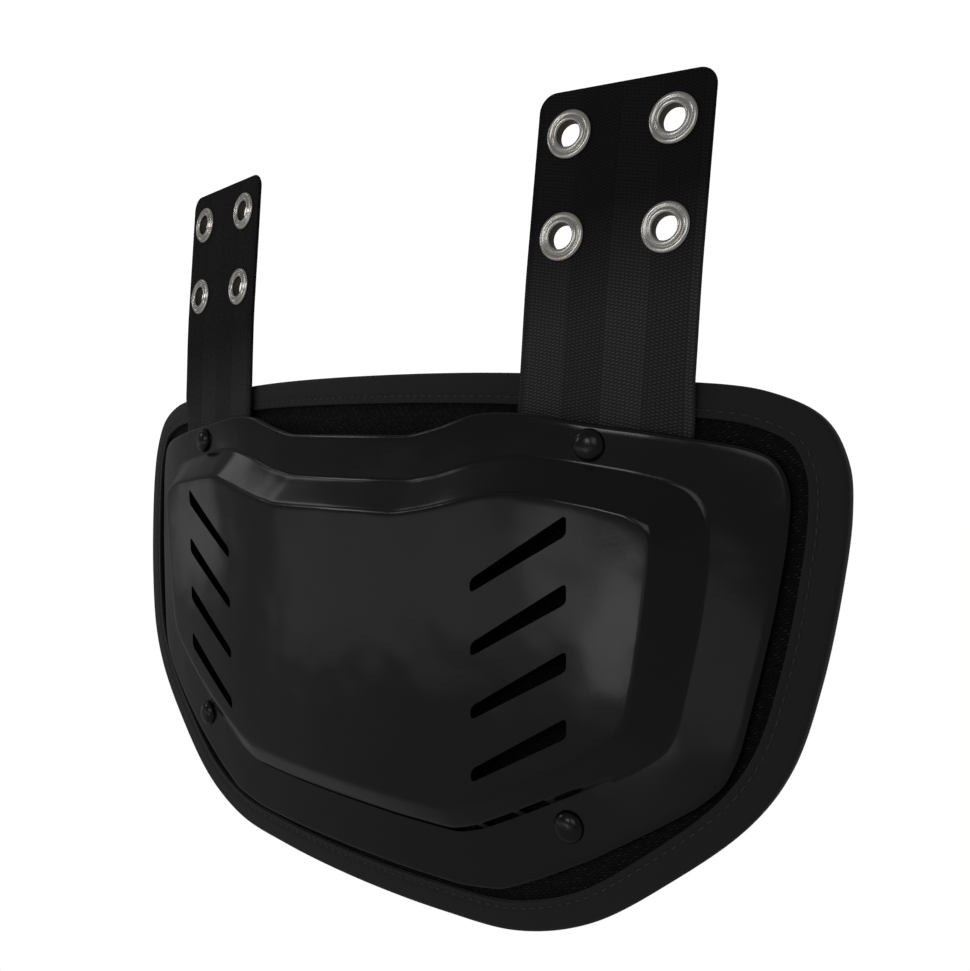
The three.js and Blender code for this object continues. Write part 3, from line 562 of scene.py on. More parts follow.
# Edge binding: a flat woven band folded over the thin rim of the foam and the facing, a little
# wider at the sides than above and below, and sewn through with one row of stitches near its inner
# edge. Its front lies flat; behind the rim it runs back at a slant to the pad's cover.
BAND_SIDE = 8.9
BAND_NARROWER_TOP = 0.13
BAND_NARROWER_BOTTOM = 0.66
SEAM_SIDE = 6.7
SEAM_HIGHER_TOP = 0.12
SEAM_LOWER_BOTTOM = -0.33
BAND_BACK = 6.3
BAND_ROUND = 1.0
RIM_SIDE = 1.8
RIM_SLANT = 3.0
BAND_TUCK = 0.4
BAND_SOFT_EDGE = 0.15
BAND_LOOP_FROM = 0.06
SEAM_DIP = 0.28
SEAM_HALF_WIDTH = 0.9
STITCH_PITCH = 3.1
STITCH_LENGTH = 2.1
STITCH_WIDTH = 0.42

upness = outward[:, 1]
band_width = BAND_SIDE - upness**2 * np.where(upness > 0, BAND_NARROWER_TOP, BAND_NARROWER_BOTTOM)
seam_inset = SEAM_SIDE + upness**2 * np.where(upness > 0, SEAM_HIGHER_TOP, SEAM_LOWER_BOTTOM)


def band_loop(inset, depth):
    return pad_loop(inset, depth, front=pad_free)


def seam_dip(inset):
    """How far the band's faces are drawn in by the seam."""
    return SEAM_DIP * np.exp(-(((inset - seam_inset) / SEAM_HALF_WIDTH) ** 2))


quarter = np.linspace(0, math.pi / 2, 7)
flat_front = [
    *[
        BAND_ROUND + (band_width - BAND_ROUND - 0.35) * share
        for share in np.linspace(BAND_LOOP_FROM, 1, 16)
    ],
    band_width - BAND_SOFT_EDGE,
]
flat_back = [
    RIM_SLANT + (band_width - RIM_SLANT - 0.2) * share
    for share in np.linspace(BAND_LOOP_FROM, 1, 10)
]
band_loops = [
    *[band_loop(inset, BAND_BACK - seam_dip(inset)) for inset in flat_back[::-1]],
    *[
        band_loop(RIM_SLANT * (1 - math.cos(a)), RIM_SIDE + (BAND_BACK - RIM_SIDE) * math.sin(a))
        for a in quarter[::-1]
    ],
    *[
        band_loop(BAND_ROUND * (1 - math.cos(a)), BAND_ROUND * (1 - math.sin(a)))
        for a in quarter
    ],
    *[band_loop(inset, seam_dip(inset)) for inset in flat_front],
    band_loop(band_width, BAND_TUCK),
    band_loop(band_width, BINDING_WALL),
    band_loop(BINDING_WALL + 0.7, BINDING_WALL),
    band_loop(BINDING_WALL, BINDING_WALL + 0.5),
    band_loop(BINDING_WALL + 0.3, 2.4),
    band_loop(RIM_SLANT + 0.6, BAND_BACK - BINDING_WALL),
    band_loop(band_width, BAND_BACK - BINDING_WALL),
    band_loop(band_width, BAND_BACK - BAND_TUCK),
]
binding = lay_through("edge_binding", band_loops, ring=True)
edge_band = new_material("edge_band", (0.0125, 0.0125, 0.0131), 0.8, Sheen_Weight=0.2)
band_tree = edge_band.node_tree
band_place, band_axes = object_axes(edge_band)
band_weave = weave_on(edge_band, (band_axes[0], band_axes[2]), across=0.0009, along=0.0009)
raise_surface(edge_band, band_weave["Height"], distance=0.00012, strength=0.6)
band_patches = noise(band_tree, band_place, scale=60.0, detail=3.0)
patch_tone = between(band_tree, band_patches, (0.0125, 0.0125, 0.013), (0.0172, 0.0172, 0.0178))
feed(edge_band, "Base Color", patch_tone)
dress(binding, edge_band)
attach(binding, "root")
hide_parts("pad_binding")

# Stitches: one row of grey-black thread on each face of the band, each stitch a short bead that
# sinks into the drawn-in seam. One is modelled and copied along the seam.
bpy.ops.object.select_all(action="DESELECT")
bpy.ops.mesh.primitive_uv_sphere_add(segments=8, ring_count=6, radius=0.5 * MM)
stitch = bpy.context.object
bpy.ops.object.mode_set(mode="EDIT")
bpy.ops.mesh.select_all(action="SELECT")
bpy.ops.transform.resize(value=(STITCH_LENGTH, STITCH_WIDTH, STITCH_WIDTH))
bpy.ops.object.mode_set(mode="OBJECT")
stitch_copies = []
for depth in (SEAM_DIP * 0.6, BAND_BACK - SEAM_DIP * 0.6):
    seam = band_loop(seam_inset, depth)
    run = np.vstack([seam, seam[:1]])
    length = np.concatenate([[0], np.cumsum(np.linalg.norm(np.diff(run, axis=0), axis=1))])
    count = round(length[-1] / (STITCH_PITCH * MM))
    for where in np.linspace(0, length[-1], count, endpoint=False):
        at, ahead = (
            Vector([np.interp(min(s, length[-1]), length, run[:, k]) for k in range(3)])
            for s in (where, where + STITCH_LENGTH * MM / 2)
        )
        copy = bpy.data.objects.new("stitch", stitch.data.copy())
        along = (ahead - at).to_track_quat("X", "Y").to_matrix().to_4x4()
        copy.data.transform(Matrix.Translation(at) @ along)
        bpy.context.collection.objects.link(copy)
        stitch_copies.append(copy)
bpy.data.objects.remove(stitch)
stitches = joined(stitch_copies)
stitches.name = stitches.data.name = "binding_stitches"
bpy.ops.object.shade_smooth()
thread = new_material("grey_thread", (0.035, 0.035, 0.036), 0.7, Sheen_Weight=0.3)
thread_place = object_axes(thread)[0]
twist = noise(thread.node_tree, thread_place, scale=1800.0, detail=2.0)
raise_surface(thread, twist, distance=0.0001)
thread_tone = between(thread.node_tree, twist, (0.02, 0.02, 0.021), (0.06, 0.06, 0.061))
feed(thread, "Base Color", thread_tone)
dress(stitches, thread)
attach(stitches, "root")

# Straps: two wide lengths of heavy black webbing, woven in four lengthwise bands between rounded
# selvedges, heat cut with round corners above. Below they run down between shell and pad.
STRAP_WIDTH = 50.8
STRAP_CORNER = 5
STRAP_ABOVE = 26
STRAP_BELOW = 82.2
STRAP_HALF_SPREAD = 87.4
STRAP_TURN = math.radians(7.3)
STRAP_LEAN = math.radians(4.66)
STRAP_SPLAY = math.radians(1.3)
STRAP_BOW = 1.2
STRAP_BOW_FROM, STRAP_BOW_TO = 108, 150
STRAP_LEAVES_FROM, STRAP_LEAVES_TO = 106, 118
SELVEDGE = 2.2
SELVEDGE_STEP = 0.12
SELVEDGE_SLOPE = 0.4
EDGE_ROUND = 1.0
BAND_GROOVE = 0.1
BAND_GROOVE_WIDTH = 0.35
EYELET_ACROSS = 29.9
EYELET_UP = 27.6
EYELET_HOLE = 4.2


def strap_front(x, z):
    """Outer face of the right strap: a plane above, pressed on the back of the flange below."""
    plane = HANG_BACK + math.tan(STRAP_TURN) * (x - STRAP_HALF_SPREAD)
    plane = plane + math.tan(STRAP_LEAN) * (z - HANG_HEIGHT)
    free = plane + STRAP_BOW * (1 - smooth_step(STRAP_BOW_FROM, STRAP_BOW_TO, z))
    pressed = smooth_max(free, flange_front(x, z) + SHELL_WALL + CLEARANCE, 1)
    share = smooth_step(STRAP_LEAVES_FROM, STRAP_LEAVES_TO, z)
    return pressed + (free - pressed) * share


def edge_distance(u, v):
    """Distance in from the strap's outline, whose upper corners are round."""
    straight = np.minimum(
        STRAP_WIDTH / 2 - np.abs(u), np.minimum(STRAP_ABOVE - v, v + STRAP_BELOW)
    )
    corner_u = np.abs(u) - (STRAP_WIDTH / 2 - STRAP_CORNER)
    corner_v = v - (STRAP_ABOVE - STRAP_CORNER)
    corner = STRAP_CORNER - np.hypot(corner_u, corner_v)
    return np.maximum(0, np.where((corner_u > 0) & (corner_v > 0), corner, straight))


def strap_half_width(v):
    past = np.maximum(0, v - (STRAP_ABOVE - STRAP_CORNER))
    return STRAP_WIDTH / 2 - STRAP_CORNER + np.sqrt(np.maximum(0, STRAP_CORNER**2 - past**2))


EDGE_STEPS = np.array([0, 0.06, 0.18, 0.38, 0.65, 1.0])
CORNER_STEPS = np.array([0.9, 1.8, 2.6, 3.3])
FIELD_IN, FIELD_UP, FIELD_STEPS = 1.6, 1.8, 90
BAND_WIDTH = (STRAP_WIDTH / 2 - SELVEDGE) / 2
groove_places = np.array([-2, -1, 0, 1, 2]) * BAND_WIDTH
columns_u = np.concatenate(
    [
        EDGE_STEPS - STRAP_WIDTH / 2,
        np.linspace(FIELD_IN - STRAP_WIDTH / 2, STRAP_WIDTH / 2 - FIELD_IN, FIELD_STEPS),
        STRAP_WIDTH / 2 - EDGE_STEPS[::-1],
    ]
)
rows_v = np.concatenate(
    [
        EDGE_STEPS - STRAP_BELOW,
        np.linspace(FIELD_UP - STRAP_BELOW, STRAP_ABOVE - STRAP_CORNER, FIELD_STEPS),
        STRAP_ABOVE - STRAP_CORNER + CORNER_STEPS,
        STRAP_ABOVE - EDGE_STEPS[::-1],
    ]
)


def strap_loop(side, v):
    """One row of points round the strap at a height v along it, and their places in the weave."""
    u = columns_u * strap_half_width(v) / (STRAP_WIDTH / 2)
    across = u * math.cos(STRAP_TURN)
    up = v * math.cos(STRAP_LEAN)
    x = STRAP_HALF_SPREAD + across * math.cos(STRAP_SPLAY) + up * math.sin(STRAP_SPLAY)
    z = HANG_HEIGHT - across * math.sin(STRAP_SPLAY) + up * math.cos(STRAP_SPLAY)
    inward = np.minimum(1, edge_distance(u, v) / EDGE_ROUND)
    half = STRAP_THICKNESS / 2 * np.sqrt(1 - (1 - inward) ** 2)
    grooves = np.exp(-(((u[:, None] - groove_places) / BAND_GROOVE_WIDTH) ** 2)).sum(axis=1)
    selvedge_from = STRAP_WIDTH / 2 - SELVEDGE
    at_selvedge = smooth_step(selvedge_from, selvedge_from + SELVEDGE_SLOPE, np.abs(u))
    selvedge = SELVEDGE_STEP * at_selvedge
    half = np.maximum(0, half - inward * (BAND_GROOVE * np.minimum(1, grooves) + selvedge))
    middle = strap_front(x, z) + STRAP_THICKNESS / 2
    front = in_metres(side * x, middle - half, z)
    back = in_metres(side * x, middle + half, z)[::-1]
    spots = np.stack([u, np.full(len(u), v)], axis=1) * MM
    return np.vstack([front, back]), np.vstack([spots, spots[::-1]])


def strap_frame(side):
    """Place of a strap's flat upper part: X across it, Y through it from outside, Z up it."""
    slope = side * math.tan(STRAP_TURN)
    across = Vector((1, slope, 0)).normalized()
    through = Vector((-slope, 1, -math.tan(STRAP_LEAN))).normalized()
    up = across.cross(through)
    axes = Matrix((across, through, up)).transposed()
    turn = Matrix.Rotation(side * STRAP_SPLAY, 3, through) @ axes
    return Matrix.Translation((side * STRAP_HALF_SPREAD * MM, 0, 0)) @ turn.to_4x4()


def eyelet_places(side):
    """Places of a strap's four eyelets, with Z pointing out of the strap's outer face."""
    outwards = Matrix.Rotation(math.pi / 2, 4, "X")
    shifts = [
        Matrix.Translation((a * EYELET_ACROSS * MM, 0, u * EYELET_UP * MM))
        for a, u in ((-0.5, 0.5), (0.5, 0.5), (-0.5, -0.5), (0.5, -0.5))
    ]
    return [strap_frame(side) @ shift @ outwards for shift in shifts]


def shaded(tree, colour, share, low, high):
    """A colour made darker or lighter, by a factor from low to high."""
    mix = tree.nodes.new("ShaderNodeMix")
    mix.data_type = "RGBA"
    mix.blend_type = "MULTIPLY"
    mix.inputs[0].default_value = 1
    tree.links.new(colour, mix.inputs[6])
    tree.links.new(between(tree, share, (low,) * 3, (high,) * 3), mix.inputs[7])
    return mix.outputs[2]


# The webbing's bands are counted from well beside the strap, so that no number is below zero.
# Its colour is painted lighter low down and toward the right than at the upper left: painted light,
# where more light falls on it.
COUNT_FROM = 8 * BAND_WIDTH * MM
PAINTED_LIGHT_RIGHT = 5.0
PAINTED_LIGHT_DOWN = 32.3
PAINTED_LIGHT_FROM = -0.6
webbing = new_material("black_webbing", (0.03, 0.03, 0.031), 0.6, Specular_IOR_Level=0.2)
web_tree = webbing.node_tree
web_spot = web_tree.nodes.new("ShaderNodeTexCoord").outputs["UV"]
web_chart = add_node(web_tree, "ShaderNodeSeparateXYZ", web_spot).outputs
counted = calc(web_tree, "ADD", web_chart[0], COUNT_FROM)
band_number = calc(web_tree, "FLOOR", calc(web_tree, "DIVIDE", counted, BAND_WIDTH * MM))
odd_band = calc(web_tree, "MODULO", band_number, 2.0)
lean = calc(web_tree, "MULTIPLY_ADD", odd_band, 0.5, -0.25)
web_weave = weave_on(webbing, web_chart, across=0.0012, along=0.0009, slant=lean)
raise_surface(webbing, web_weave["Height"], distance=0.00028)
band_tone = between(web_tree, odd_band, (0.041, 0.041, 0.042), (0.03, 0.03, 0.031))
# Painted shade and highlight: the weave's colour is darker in the low gaps between threads and
# lighter on their raised tops.
weave_painted_shade = shaded(web_tree, band_tone, web_weave["Height"], 0.45, 1.75)
web_axes = object_axes(webbing)[1]
# Painted light: a ramp from the upper left down to the lower right lightens the webbing's colour.
painted_light_ramp = calc(web_tree, "MULTIPLY_ADD", web_axes[0], PAINTED_LIGHT_RIGHT, PAINTED_LIGHT_FROM)
painted_light_ramp = calc(web_tree, "MULTIPLY_ADD", web_axes[2], -PAINTED_LIGHT_DOWN, painted_light_ramp)
painted_light_ramp.node.use_clamp = True
feed(webbing, "Base Color", shaded(web_tree, weave_painted_shade, painted_light_ramp, 0.3, 1.75))

for side, label in ((-1, "left"), (1, "right")):
    rows = [strap_loop(side, v) for v in rows_v]
    strap = lay_through(
        f"webbing_strap_{label}", [row[0] for row in rows], chart=[row[1] for row in rows]
    )
    holes = [bar(EYELET_HOLE, 8, place) for place in eyelet_places(side)]
    holes.append(bar(RIVET_HOLE, 12, RIVETS[f"rivet_{label}_top"]))
    cut_away(strap, [joined(holes)])
    dress(strap, webbing)
    pick(strap)
    bpy.ops.object.shade_smooth_by_angle(angle=math.radians(50))
    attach(strap, "root")
    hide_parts(f"strap_{label}")

# Eyelets: two-part nickel-plated brass, pressed together through the webbing. The front part rolls
# over in a raised ring round the hole, inside a wider rounded rim; a washer closes it behind.
EYELET_SIDES = 56
BARREL_RADIUS = 3.56
EYELET_PROFILE = [
    (3.45, 0.3), (3.5, 0.7), (3.7, 1.0), (4.05, 1.16), (4.45, 1.14), (4.8, 0.95), (5.0, 0.72),
    (5.15, 0.66), (5.3, 0.74), (5.6, 0.9), (6.0, 0.9), (6.35, 0.76), (6.6, 0.5), (6.7, 0.26),
    (6.66, 0.1), (6.5, 0.03), (3.95, 0.03), (3.95, -1.63), (6.3, -1.65), (6.6, -1.75),
    (6.68, -1.95), (6.5, -2.2), (6.1, -2.36), (5.2, -2.42), (4.4, -2.42), (3.8, -2.34), (3.5, -2.1),
]


def turned(name, profile, sides, place, ring=False):
    """A body turned about Z of its place, from a profile of radius and height in millimetres."""
    angles = np.linspace(0, 2 * math.pi, sides, endpoint=False)
    loops = [
        np.stack([r * np.cos(angles), r * np.sin(angles), np.full(sides, h)], axis=1) * MM
        for r, h in profile
    ]
    body = lay_through(name, loops, ring=ring)
    body.data.transform(place)
    return body


# The grain: fine unevenness that any moulded or plated surface has, as a height and broad patches.
# Wave says how far the broad patches raise the surface too.
grain = bpy.data.node_groups.new("fine_grain", "ShaderNodeTree")
grain.interface.new_socket(name="Place", in_out="INPUT", socket_type="NodeSocketVector")
for socket in ("Fine", "Broad", "Wave"):
    grain.interface.new_socket(name=socket, in_out="INPUT", socket_type="NodeSocketFloat")
for socket in ("Height", "Patch"):
    grain.interface.new_socket(name=socket, in_out="OUTPUT", socket_type="NodeSocketFloat")
grain_in = grain.nodes.new("NodeGroupInput").outputs
grain_out = grain.nodes.new("NodeGroupOutput").inputs
fine = noise(grain, grain_in["Place"], scale=grain_in["Fine"], detail=3.0)
broad = noise(grain, grain_in["Place"], scale=grain_in["Broad"], detail=2.0)
waved = calc(grain, "MULTIPLY_ADD", broad, grain_in["Wave"], fine)
grain.links.new(waved, grain_out["Height"])
grain.links.new(broad, grain_out["Patch"])


def grain_on(material, fine, broad, depth, rough, wave=0.0):
    """Put the grain on a material: a shallow unevenness, and gloss that varies in patches."""
    tree = material.node_tree
    group = tree.nodes.new("ShaderNodeGroup")
    group.node_tree = grain
    tree.links.new(object_axes(material)[0], group.inputs["Place"])
    for socket, value in (("Fine", fine), ("Broad", broad), ("Wave", wave)):
        group.inputs[socket].default_value = value
    raise_surface(material, group.outputs["Height"], depth, strength=0.5)
    smoothest, roughest = rough
    spread = roughest - smoothest
    patchy = calc(tree, "MULTIPLY_ADD", group.outputs["Patch"], spread, smoothest)
    feed(material, "Roughness", patchy)
    return group.outputs


nickel = new_material("bright_nickel", (0.85, 0.82, 0.77), 0.25, Metallic=1.0)
nickel_grain = grain_on(nickel, fine=900.0, broad=220.0, depth=0.00004, rough=(0.12, 0.34))
nickel_patch = nickel_grain["Patch"]
nickel_tone = between(nickel.node_tree, nickel_patch, (0.78, 0.74, 0.68), (0.97, 0.95, 0.92))
feed(nickel, "Base Color", nickel_tone)
# Painted shade: a dark copy of the nickel for the inside of the barrel, where the hole lies in
# shade.
nickel_painted_shade = new_material("nickel_painted_shade", (0.16, 0.14, 0.11), 0.35, Metallic=1.0)
for side, label in ((-1, "left"), (1, "right")):
    for number, place in enumerate(eyelet_places(side), 1):
        eyelet = turned(
            f"nickel_eyelet_{label}_{number}", EYELET_PROFILE, EYELET_SIDES, place, ring=True
        )
        bpy.ops.object.shade_smooth_by_angle(angle=math.radians(50))
        dress(eyelet, nickel, nickel_painted_shade)
        # Faces inside the barrel take the painted shade.
        for face in eyelet.data.polygons:
            at = place.inverted() @ face.center
            face.material_index = int(math.hypot(at.x, at.y) < BARREL_RADIUS * MM)
        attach(eyelet, "root")
        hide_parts(f"eyelet_{label}_{number}")

# Shell: one thin plate of satin black plastic, moulded with a flat flange and a raised middle that
# stands forward on sloping walls. Eight slanting slots and a slit under the middle are cut through.
SHELL_WIDTH = 2 * SHELL_HALF_WIDTH
SHELL_HEIGHT = 135.6
SHELL_LOW = -26.4
FOOT_WIDTH = 231.2
FACE_WIDTH = 213.8
FACE_FORWARD = 11.7
FACE_LEAN = 0.0281
FACE_RADIUS = 514
LIP_FLAT, LIP_HIGH = 0.5, 2.5
TOE_NEAR, TOE_FAR = 0.8, 1.7
SHELL_STEP = 1.7
RIM_ROUND = 1.1
FACE_ROUND = 1.5
FOOT_ROUND = 1.2

# Right half of the shell from the top middle round to the bottom middle. Shares across are of the
# half widths of edge, foot and face, shares up are of the shell's height; lip is the foot's height.
SHELL_SECTIONS = [
    # edge, edge up, foot, foot up, face, face up, lip
    (0, 0.953, 0, 0.845, 0, 0.788, 0),
    (0.2, 0.953, 0.234, 0.847, 0.262, 0.788, 0),
    (0.281, 0.97, 0.329, 0.861, 0.365, 0.801, 0),
    (0.363, 0.995, 0.433, 0.886, 0.489, 0.823, 0),
    (0.422, 1, 0.536, 0.904, 0.58, 0.84, 0),
    (0.489, 0.997, 0.597, 0.906, 0.639, 0.844, 0),
    (0.63, 0.977, 0.709, 0.895, 0.739, 0.836, 0),
    (0.778, 0.959, 0.839, 0.879, 0.861, 0.823, 0),
    (0.919, 0.937, 0.926, 0.863, 0.94, 0.811, 0),
    (0.967, 0.92, 0.975, 0.845, 0.987, 0.792, 0),
    (0.989, 0.892, 0.998, 0.81, 0.996, 0.779, 0),
    (1, 0.844, 1, 0.777, 1, 0.748, 0),
    (0.995, 0.755, 0.998, 0.696, 0.995, 0.696, 0),
    (0.98, 0.637, 0.986, 0.6, 0.981, 0.608, 0),
    (0.956, 0.504, 0.969, 0.512, 0.966, 0.519, 0),
    (0.932, 0.386, 0.952, 0.431, 0.949, 0.445, 0),
    (0.907, 0.324, 0.926, 0.379, 0.926, 0.401, 0),
    (0.859, 0.277, 0.861, 0.335, 0.851, 0.357, 0),
    (0.776, 0.218, 0.761, 0.288, 0.758, 0.309, 0.5),
    (0.659, 0.139, 0.666, 0.246, 0.669, 0.272, 1),
    (0.548, 0.074, 0.571, 0.201, 0.58, 0.235, 1),
    (0.452, 0.025, 0.467, 0.154, 0.477, 0.198, 1),
    (0.348, 0.007, 0.394, 0.133, 0.412, 0.18, 1),
    (0.178, 0.001, 0.208, 0.128, 0.225, 0.175, 1),
    (0, 0, 0, 0.127, 0, 0.174, 1),
]


def shell_face(x, z):
    return -FACE_FORWARD - FACE_LEAN * z + x**2 / (2 * FACE_RADIUS)


def section_numbers():
    """Edge, foot, face and lip all the way round, at close steps, with their corners eased."""
    rows = np.array(SHELL_SECTIONS, float)
    widths = (SHELL_WIDTH, FOOT_WIDTH, FACE_WIDTH)
    scale = np.array([*[size for width in widths for size in (width / 2, SHELL_HEIGHT)], 1])
    right = rows * scale + np.array([0, SHELL_LOW, 0, SHELL_LOW, 0, SHELL_LOW, 0])
    left = right[-2:0:-1] * np.array([-1, 1, -1, 1, -1, 1, 1])
    around = np.vstack([right, left])
    following = np.roll(around, -1, axis=0)
    close = []
    for here, there in zip(around, following):
        steps = max(2, math.ceil(np.hypot(*(there - here)[:2]) / SHELL_STEP))
        close.append(here + (there - here) * np.linspace(0, 1, steps, endpoint=False)[:, None])
    close = np.vstack(close)
    weights = np.exp(-0.5 * (np.arange(-4, 5) / 1.3) ** 2)
    weights /= weights.sum()
    return sum(w * np.roll(close, k, axis=0) for w, k in zip(weights, range(-4, 5)))


sections = section_numbers()
edge, foot, top, lip_share = sections[:, 0:2], sections[:, 2:4], sections[:, 4:6], sections[:, 6]
lip = LIP_FLAT + lip_share * (LIP_HIGH - LIP_FLAT)
toe_run = TOE_NEAR + lip_share * (TOE_FAR - TOE_NEAR)
foot_out = outward_of(foot)
edge_out = outward_of(edge)
toe = foot + foot_out * toe_run[:, None]


def on_flange(flat, forward=0.0):
    return in_metres(flat[:, 0], flange_front(flat[:, 0], flat[:, 1]) - forward, flat[:, 1])


def on_face(share):
    flat = top + (PAD_MIDDLE - top) * share
    return in_metres(flat[:, 0], shell_face(flat[:, 0], flat[:, 1]), flat[:, 1])


def eased(before, corner, after, radius, count):
    """Loops that round a corner off, between points a radius before and after it."""
    to_before = before - corner
    to_after = after - corner
    reach_before = np.minimum(radius * MM, 0.48 * np.linalg.norm(to_before, axis=1))[:, None]
    reach_after = np.minimum(radius * MM, 0.48 * np.linalg.norm(to_after, axis=1))[:, None]
    start = corner + to_before / np.linalg.norm(to_before, axis=1)[:, None] * reach_before
    end = corner + to_after / np.linalg.norm(to_after, axis=1)[:, None] * reach_after
    return [
        start * (1 - t) ** 2 + corner * 2 * t * (1 - t) + end * t**2
        for t in np.linspace(0, 1, count)
    ]


FACE_LOOPS = (1, 0.94, 0.86, 0.77, 0.68, 0.59, 0.5, 0.42, 0.34, 0.27, 0.2, 0.14, 0.09, 0.05)
foot_line = on_flange(foot, lip)
toe_line = on_flange(toe)
behind = np.array([0, SHELL_WALL * MM, 0])
wall_middle = (on_face(0) + foot_line) / 2

def rim_loop(angle, side):
    """A loop of the shell's rounded outer rim; side is -1 in front of the rim and 1 behind it."""
    flat = edge - edge_out * RIM_ROUND * (1 - math.sin(angle))
    return on_flange(flat, side * RIM_ROUND * (1 - math.cos(angle)))


rim_angles = np.linspace(0, math.pi / 2, 6)
rim_loops = [rim_loop(angle, -1) for angle in rim_angles]
rim_back = [rim_loop(angle, 1) + behind for angle in rim_angles[::-1]]
shell_loops = [
    *[on_face(share) for share in FACE_LOOPS],
    *eased(on_face(0.05), on_face(0), wall_middle, FACE_ROUND, 7),
    wall_middle,
    *eased(wall_middle, foot_line, toe_line, FOOT_ROUND, 5),
    toe_line,
    on_flange(toe * 0.93 + edge * 0.07),
    on_flange(toe * 0.5 + edge * 0.5),
    on_flange(edge - edge_out * RIM_ROUND * 2),
    *rim_loops,
    *rim_back,
    on_flange(toe * 0.5 + edge * 0.5) + behind,
    toe_line + behind,
    foot_line + behind,
    on_face(0) + behind,
    *[on_face(share) + behind for share in FACE_LOOPS[::-3]],
    on_face(1) + behind,
]
shell = lay_through("moulded_shell", shell_loops)


def prism(name, upper, lower):
    """A closed prism along Y between two lines of the same number of points, in millimetres."""
    flat = [
        in_metres(np.array(line)[:, 0], np.full(len(line), -40.0), np.array(line)[:, 1])
        for line in (lower, upper)
    ]
    bpy.ops.object.select_all(action="DESELECT")
    bpy.ops.mesh.primitive_grid_add(x_subdivisions=len(upper) - 1, y_subdivisions=1, size=1)
    cutter = bpy.context.object
    cutter.name = name
    cutter.data.vertices.foreach_set("co", np.array(flat, np.float32).ravel())
    bpy.ops.object.mode_set(mode="EDIT")
    bpy.ops.mesh.select_all(action="SELECT")
    bpy.ops.mesh.extrude_region_move(TRANSFORM_OT_translate={"value": (0, 0.08, 0)})
    bpy.ops.mesh.select_all(action="SELECT")
    bpy.ops.mesh.normals_make_consistent(inside=False)
    bpy.ops.object.mode_set(mode="OBJECT")
    return cutter


SLOT_COUNT = 4
SLOT_PITCH = 17.45
SLOT_OUTER = (84.6, 80.1)
SLOT_INNER = (55.2, 61.8)
SLOT_OUTER_HALF = 2.7
SLOT_INNER_HALF = 1.85
SLOT_CORNER = 1.3


def slot_cutter(side, index):
    """A slanting slot, a little wider at its outer end, with rounded corners."""
    length = SLOT_OUTER[0] - SLOT_INNER[0]
    ends = np.array([0, 0.1, 0.3, 0.65, SLOT_CORNER]) / length
    shares = np.concatenate([ends, 1 - ends[::-1]])
    near_end = np.minimum(shares, 1 - shares) * length
    cut_in = np.maximum(0, SLOT_CORNER - near_end)
    rounding = SLOT_CORNER - np.sqrt(np.maximum(0, SLOT_CORNER**2 - cut_in**2))
    half = SLOT_INNER_HALF + (SLOT_OUTER_HALF - SLOT_INNER_HALF) * shares - rounding
    x = side * (SLOT_INNER[0] + length * shares)
    z = SLOT_INNER[1] + (SLOT_OUTER[1] - SLOT_INNER[1]) * shares - index * SLOT_PITCH
    return prism("slot", np.stack([x, z + half], axis=1), np.stack([x, z - half], axis=1))


SLIT_WIDTH = 1.7
SLIT_RUNS = ((-80, -71), (-69, -57.5), (-55.5, 55.5), (57.5, 69), (71, 80))
slit_line = ((foot + toe) / 2)[lip_share > 0.02]
slit_steps = np.linalg.norm(np.diff(slit_line, axis=0), axis=1)
slit_place = np.concatenate([[0], np.cumsum(slit_steps)])
slit_place -= np.interp(0, -slit_line[:, 0], slit_place)


def slit_cutter(start, end):
    """A stretch of the narrow slit that follows the foot of the raised middle."""
    where = np.linspace(start, end, max(4, round((end - start) / 1.5)))
    line = np.stack([np.interp(where, slit_place, slit_line[:, k]) for k in (0, 1)], axis=1)
    along = np.gradient(line, axis=0)
    along /= np.linalg.norm(along, axis=1)[:, None]
    across = np.stack([-along[:, 1], along[:, 0]], axis=1) * SLIT_WIDTH / 2
    return prism("slit", line + across, line - across)


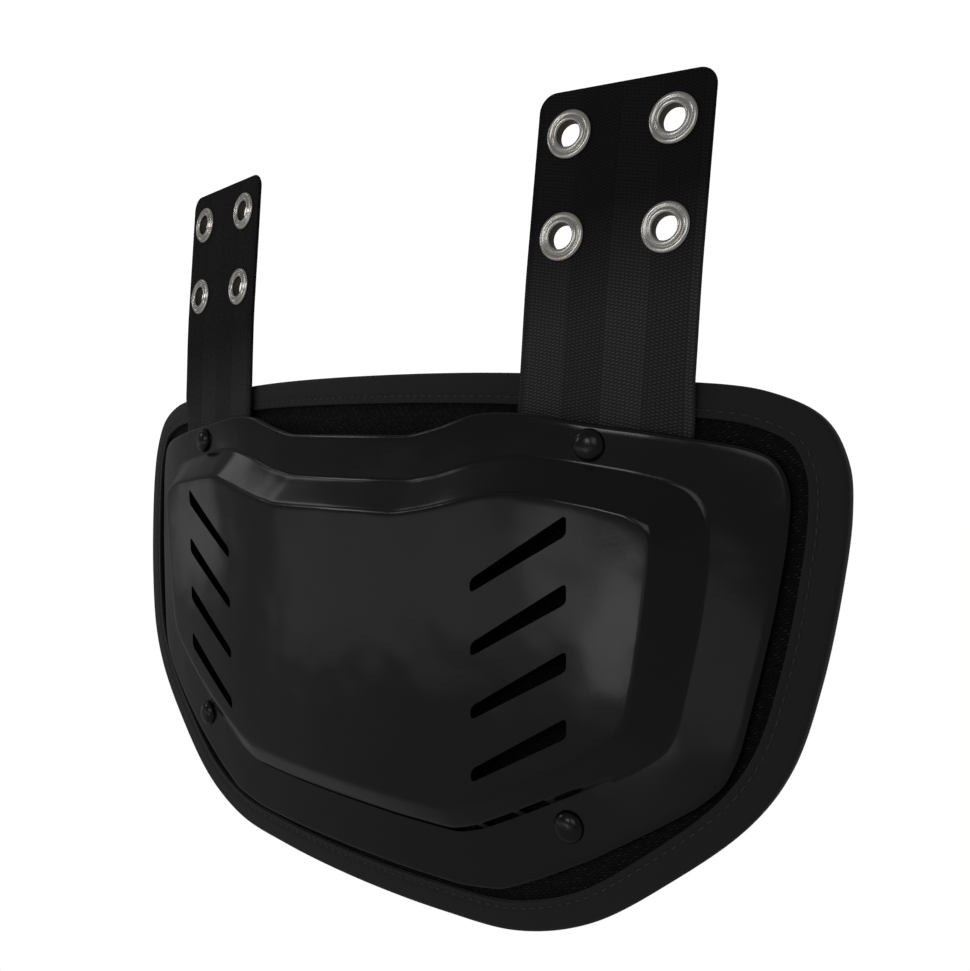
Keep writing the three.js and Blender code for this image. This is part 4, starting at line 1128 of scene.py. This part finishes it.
cut_away(shell, [joined([slot_cutter(side, i) for side in (-1, 1) for i in range(SLOT_COUNT)])])
cut_away(shell, [joined([slit_cutter(*run) for run in SLIT_RUNS])])
cut_away(shell, [joined([bar(RIVET_HOLE, 12, place) for place in RIVETS.values()])])
pick(shell)
bpy.ops.object.shade_smooth_by_angle(angle=math.radians(40))
satin_shell = new_material("satin_black_plastic", (0.0042, 0.0042, 0.0047), 0.3)
grain_on(satin_shell, fine=700.0, broad=26.0, depth=0.00002, rough=(0.14, 0.17), wave=100.0)
dress(shell, satin_shell)
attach(shell, "root")
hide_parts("shell")

# Rivets: black plastic domed snap rivets, pushed from the front through flange, strap and facing,
# with a flat tail behind the facing. Their heads are as satin as the shell, in smaller patches.
RIVET_HEAD = 4.4
RIVET_DOME = 2.3
RIVET_SHANK = 2.0
TAIL_RADIUS = 4.0
RIVET_DOME_FULLNESS = 0.85
RIVET_BRIM = 0.1
RIVET_SEAT = 0.06
TAIL_GAP = 0.6
TAIL_THICKNESS = 1.0
dome_angles = np.linspace(math.pi / 2, 0.12, 10)
gloss_rivet = new_material("gloss_black_plastic", (0.003, 0.003, 0.0034), 0.2)
grain_on(gloss_rivet, fine=900.0, broad=120.0, depth=0.00002, rough=(0.14, 0.26))
for name, place in RIVETS.items():
    x_mm = abs(place.translation.x) / MM
    z_mm = place.translation.z / MM + HANG_HEIGHT
    tail = float(pad_front(x_mm, z_mm) - flange_front(x_mm, z_mm)) + FACING_THICKNESS + TAIL_GAP
    head = [
        (RIVET_HEAD * math.cos(a) ** RIVET_DOME_FULLNESS, -RIVET_DOME * math.sin(a) - RIVET_BRIM)
        for a in dome_angles[1:]
    ]
    profile = [
        (0, -RIVET_DOME - RIVET_BRIM), *head, (RIVET_HEAD, -0.2), (RIVET_HEAD - 0.15, -RIVET_SEAT),
        (RIVET_SHANK, -RIVET_SEAT), (RIVET_SHANK, tail), (TAIL_RADIUS, tail),
        (TAIL_RADIUS, tail + TAIL_THICKNESS), (0, tail + TAIL_THICKNESS),
    ]
    rivet = turned(f"domed_{name}", profile, 48, place)
    bpy.ops.object.shade_smooth_by_angle(angle=math.radians(45))
    dress(rivet, gloss_rivet)
    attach(rivet, "root")
    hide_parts(name)
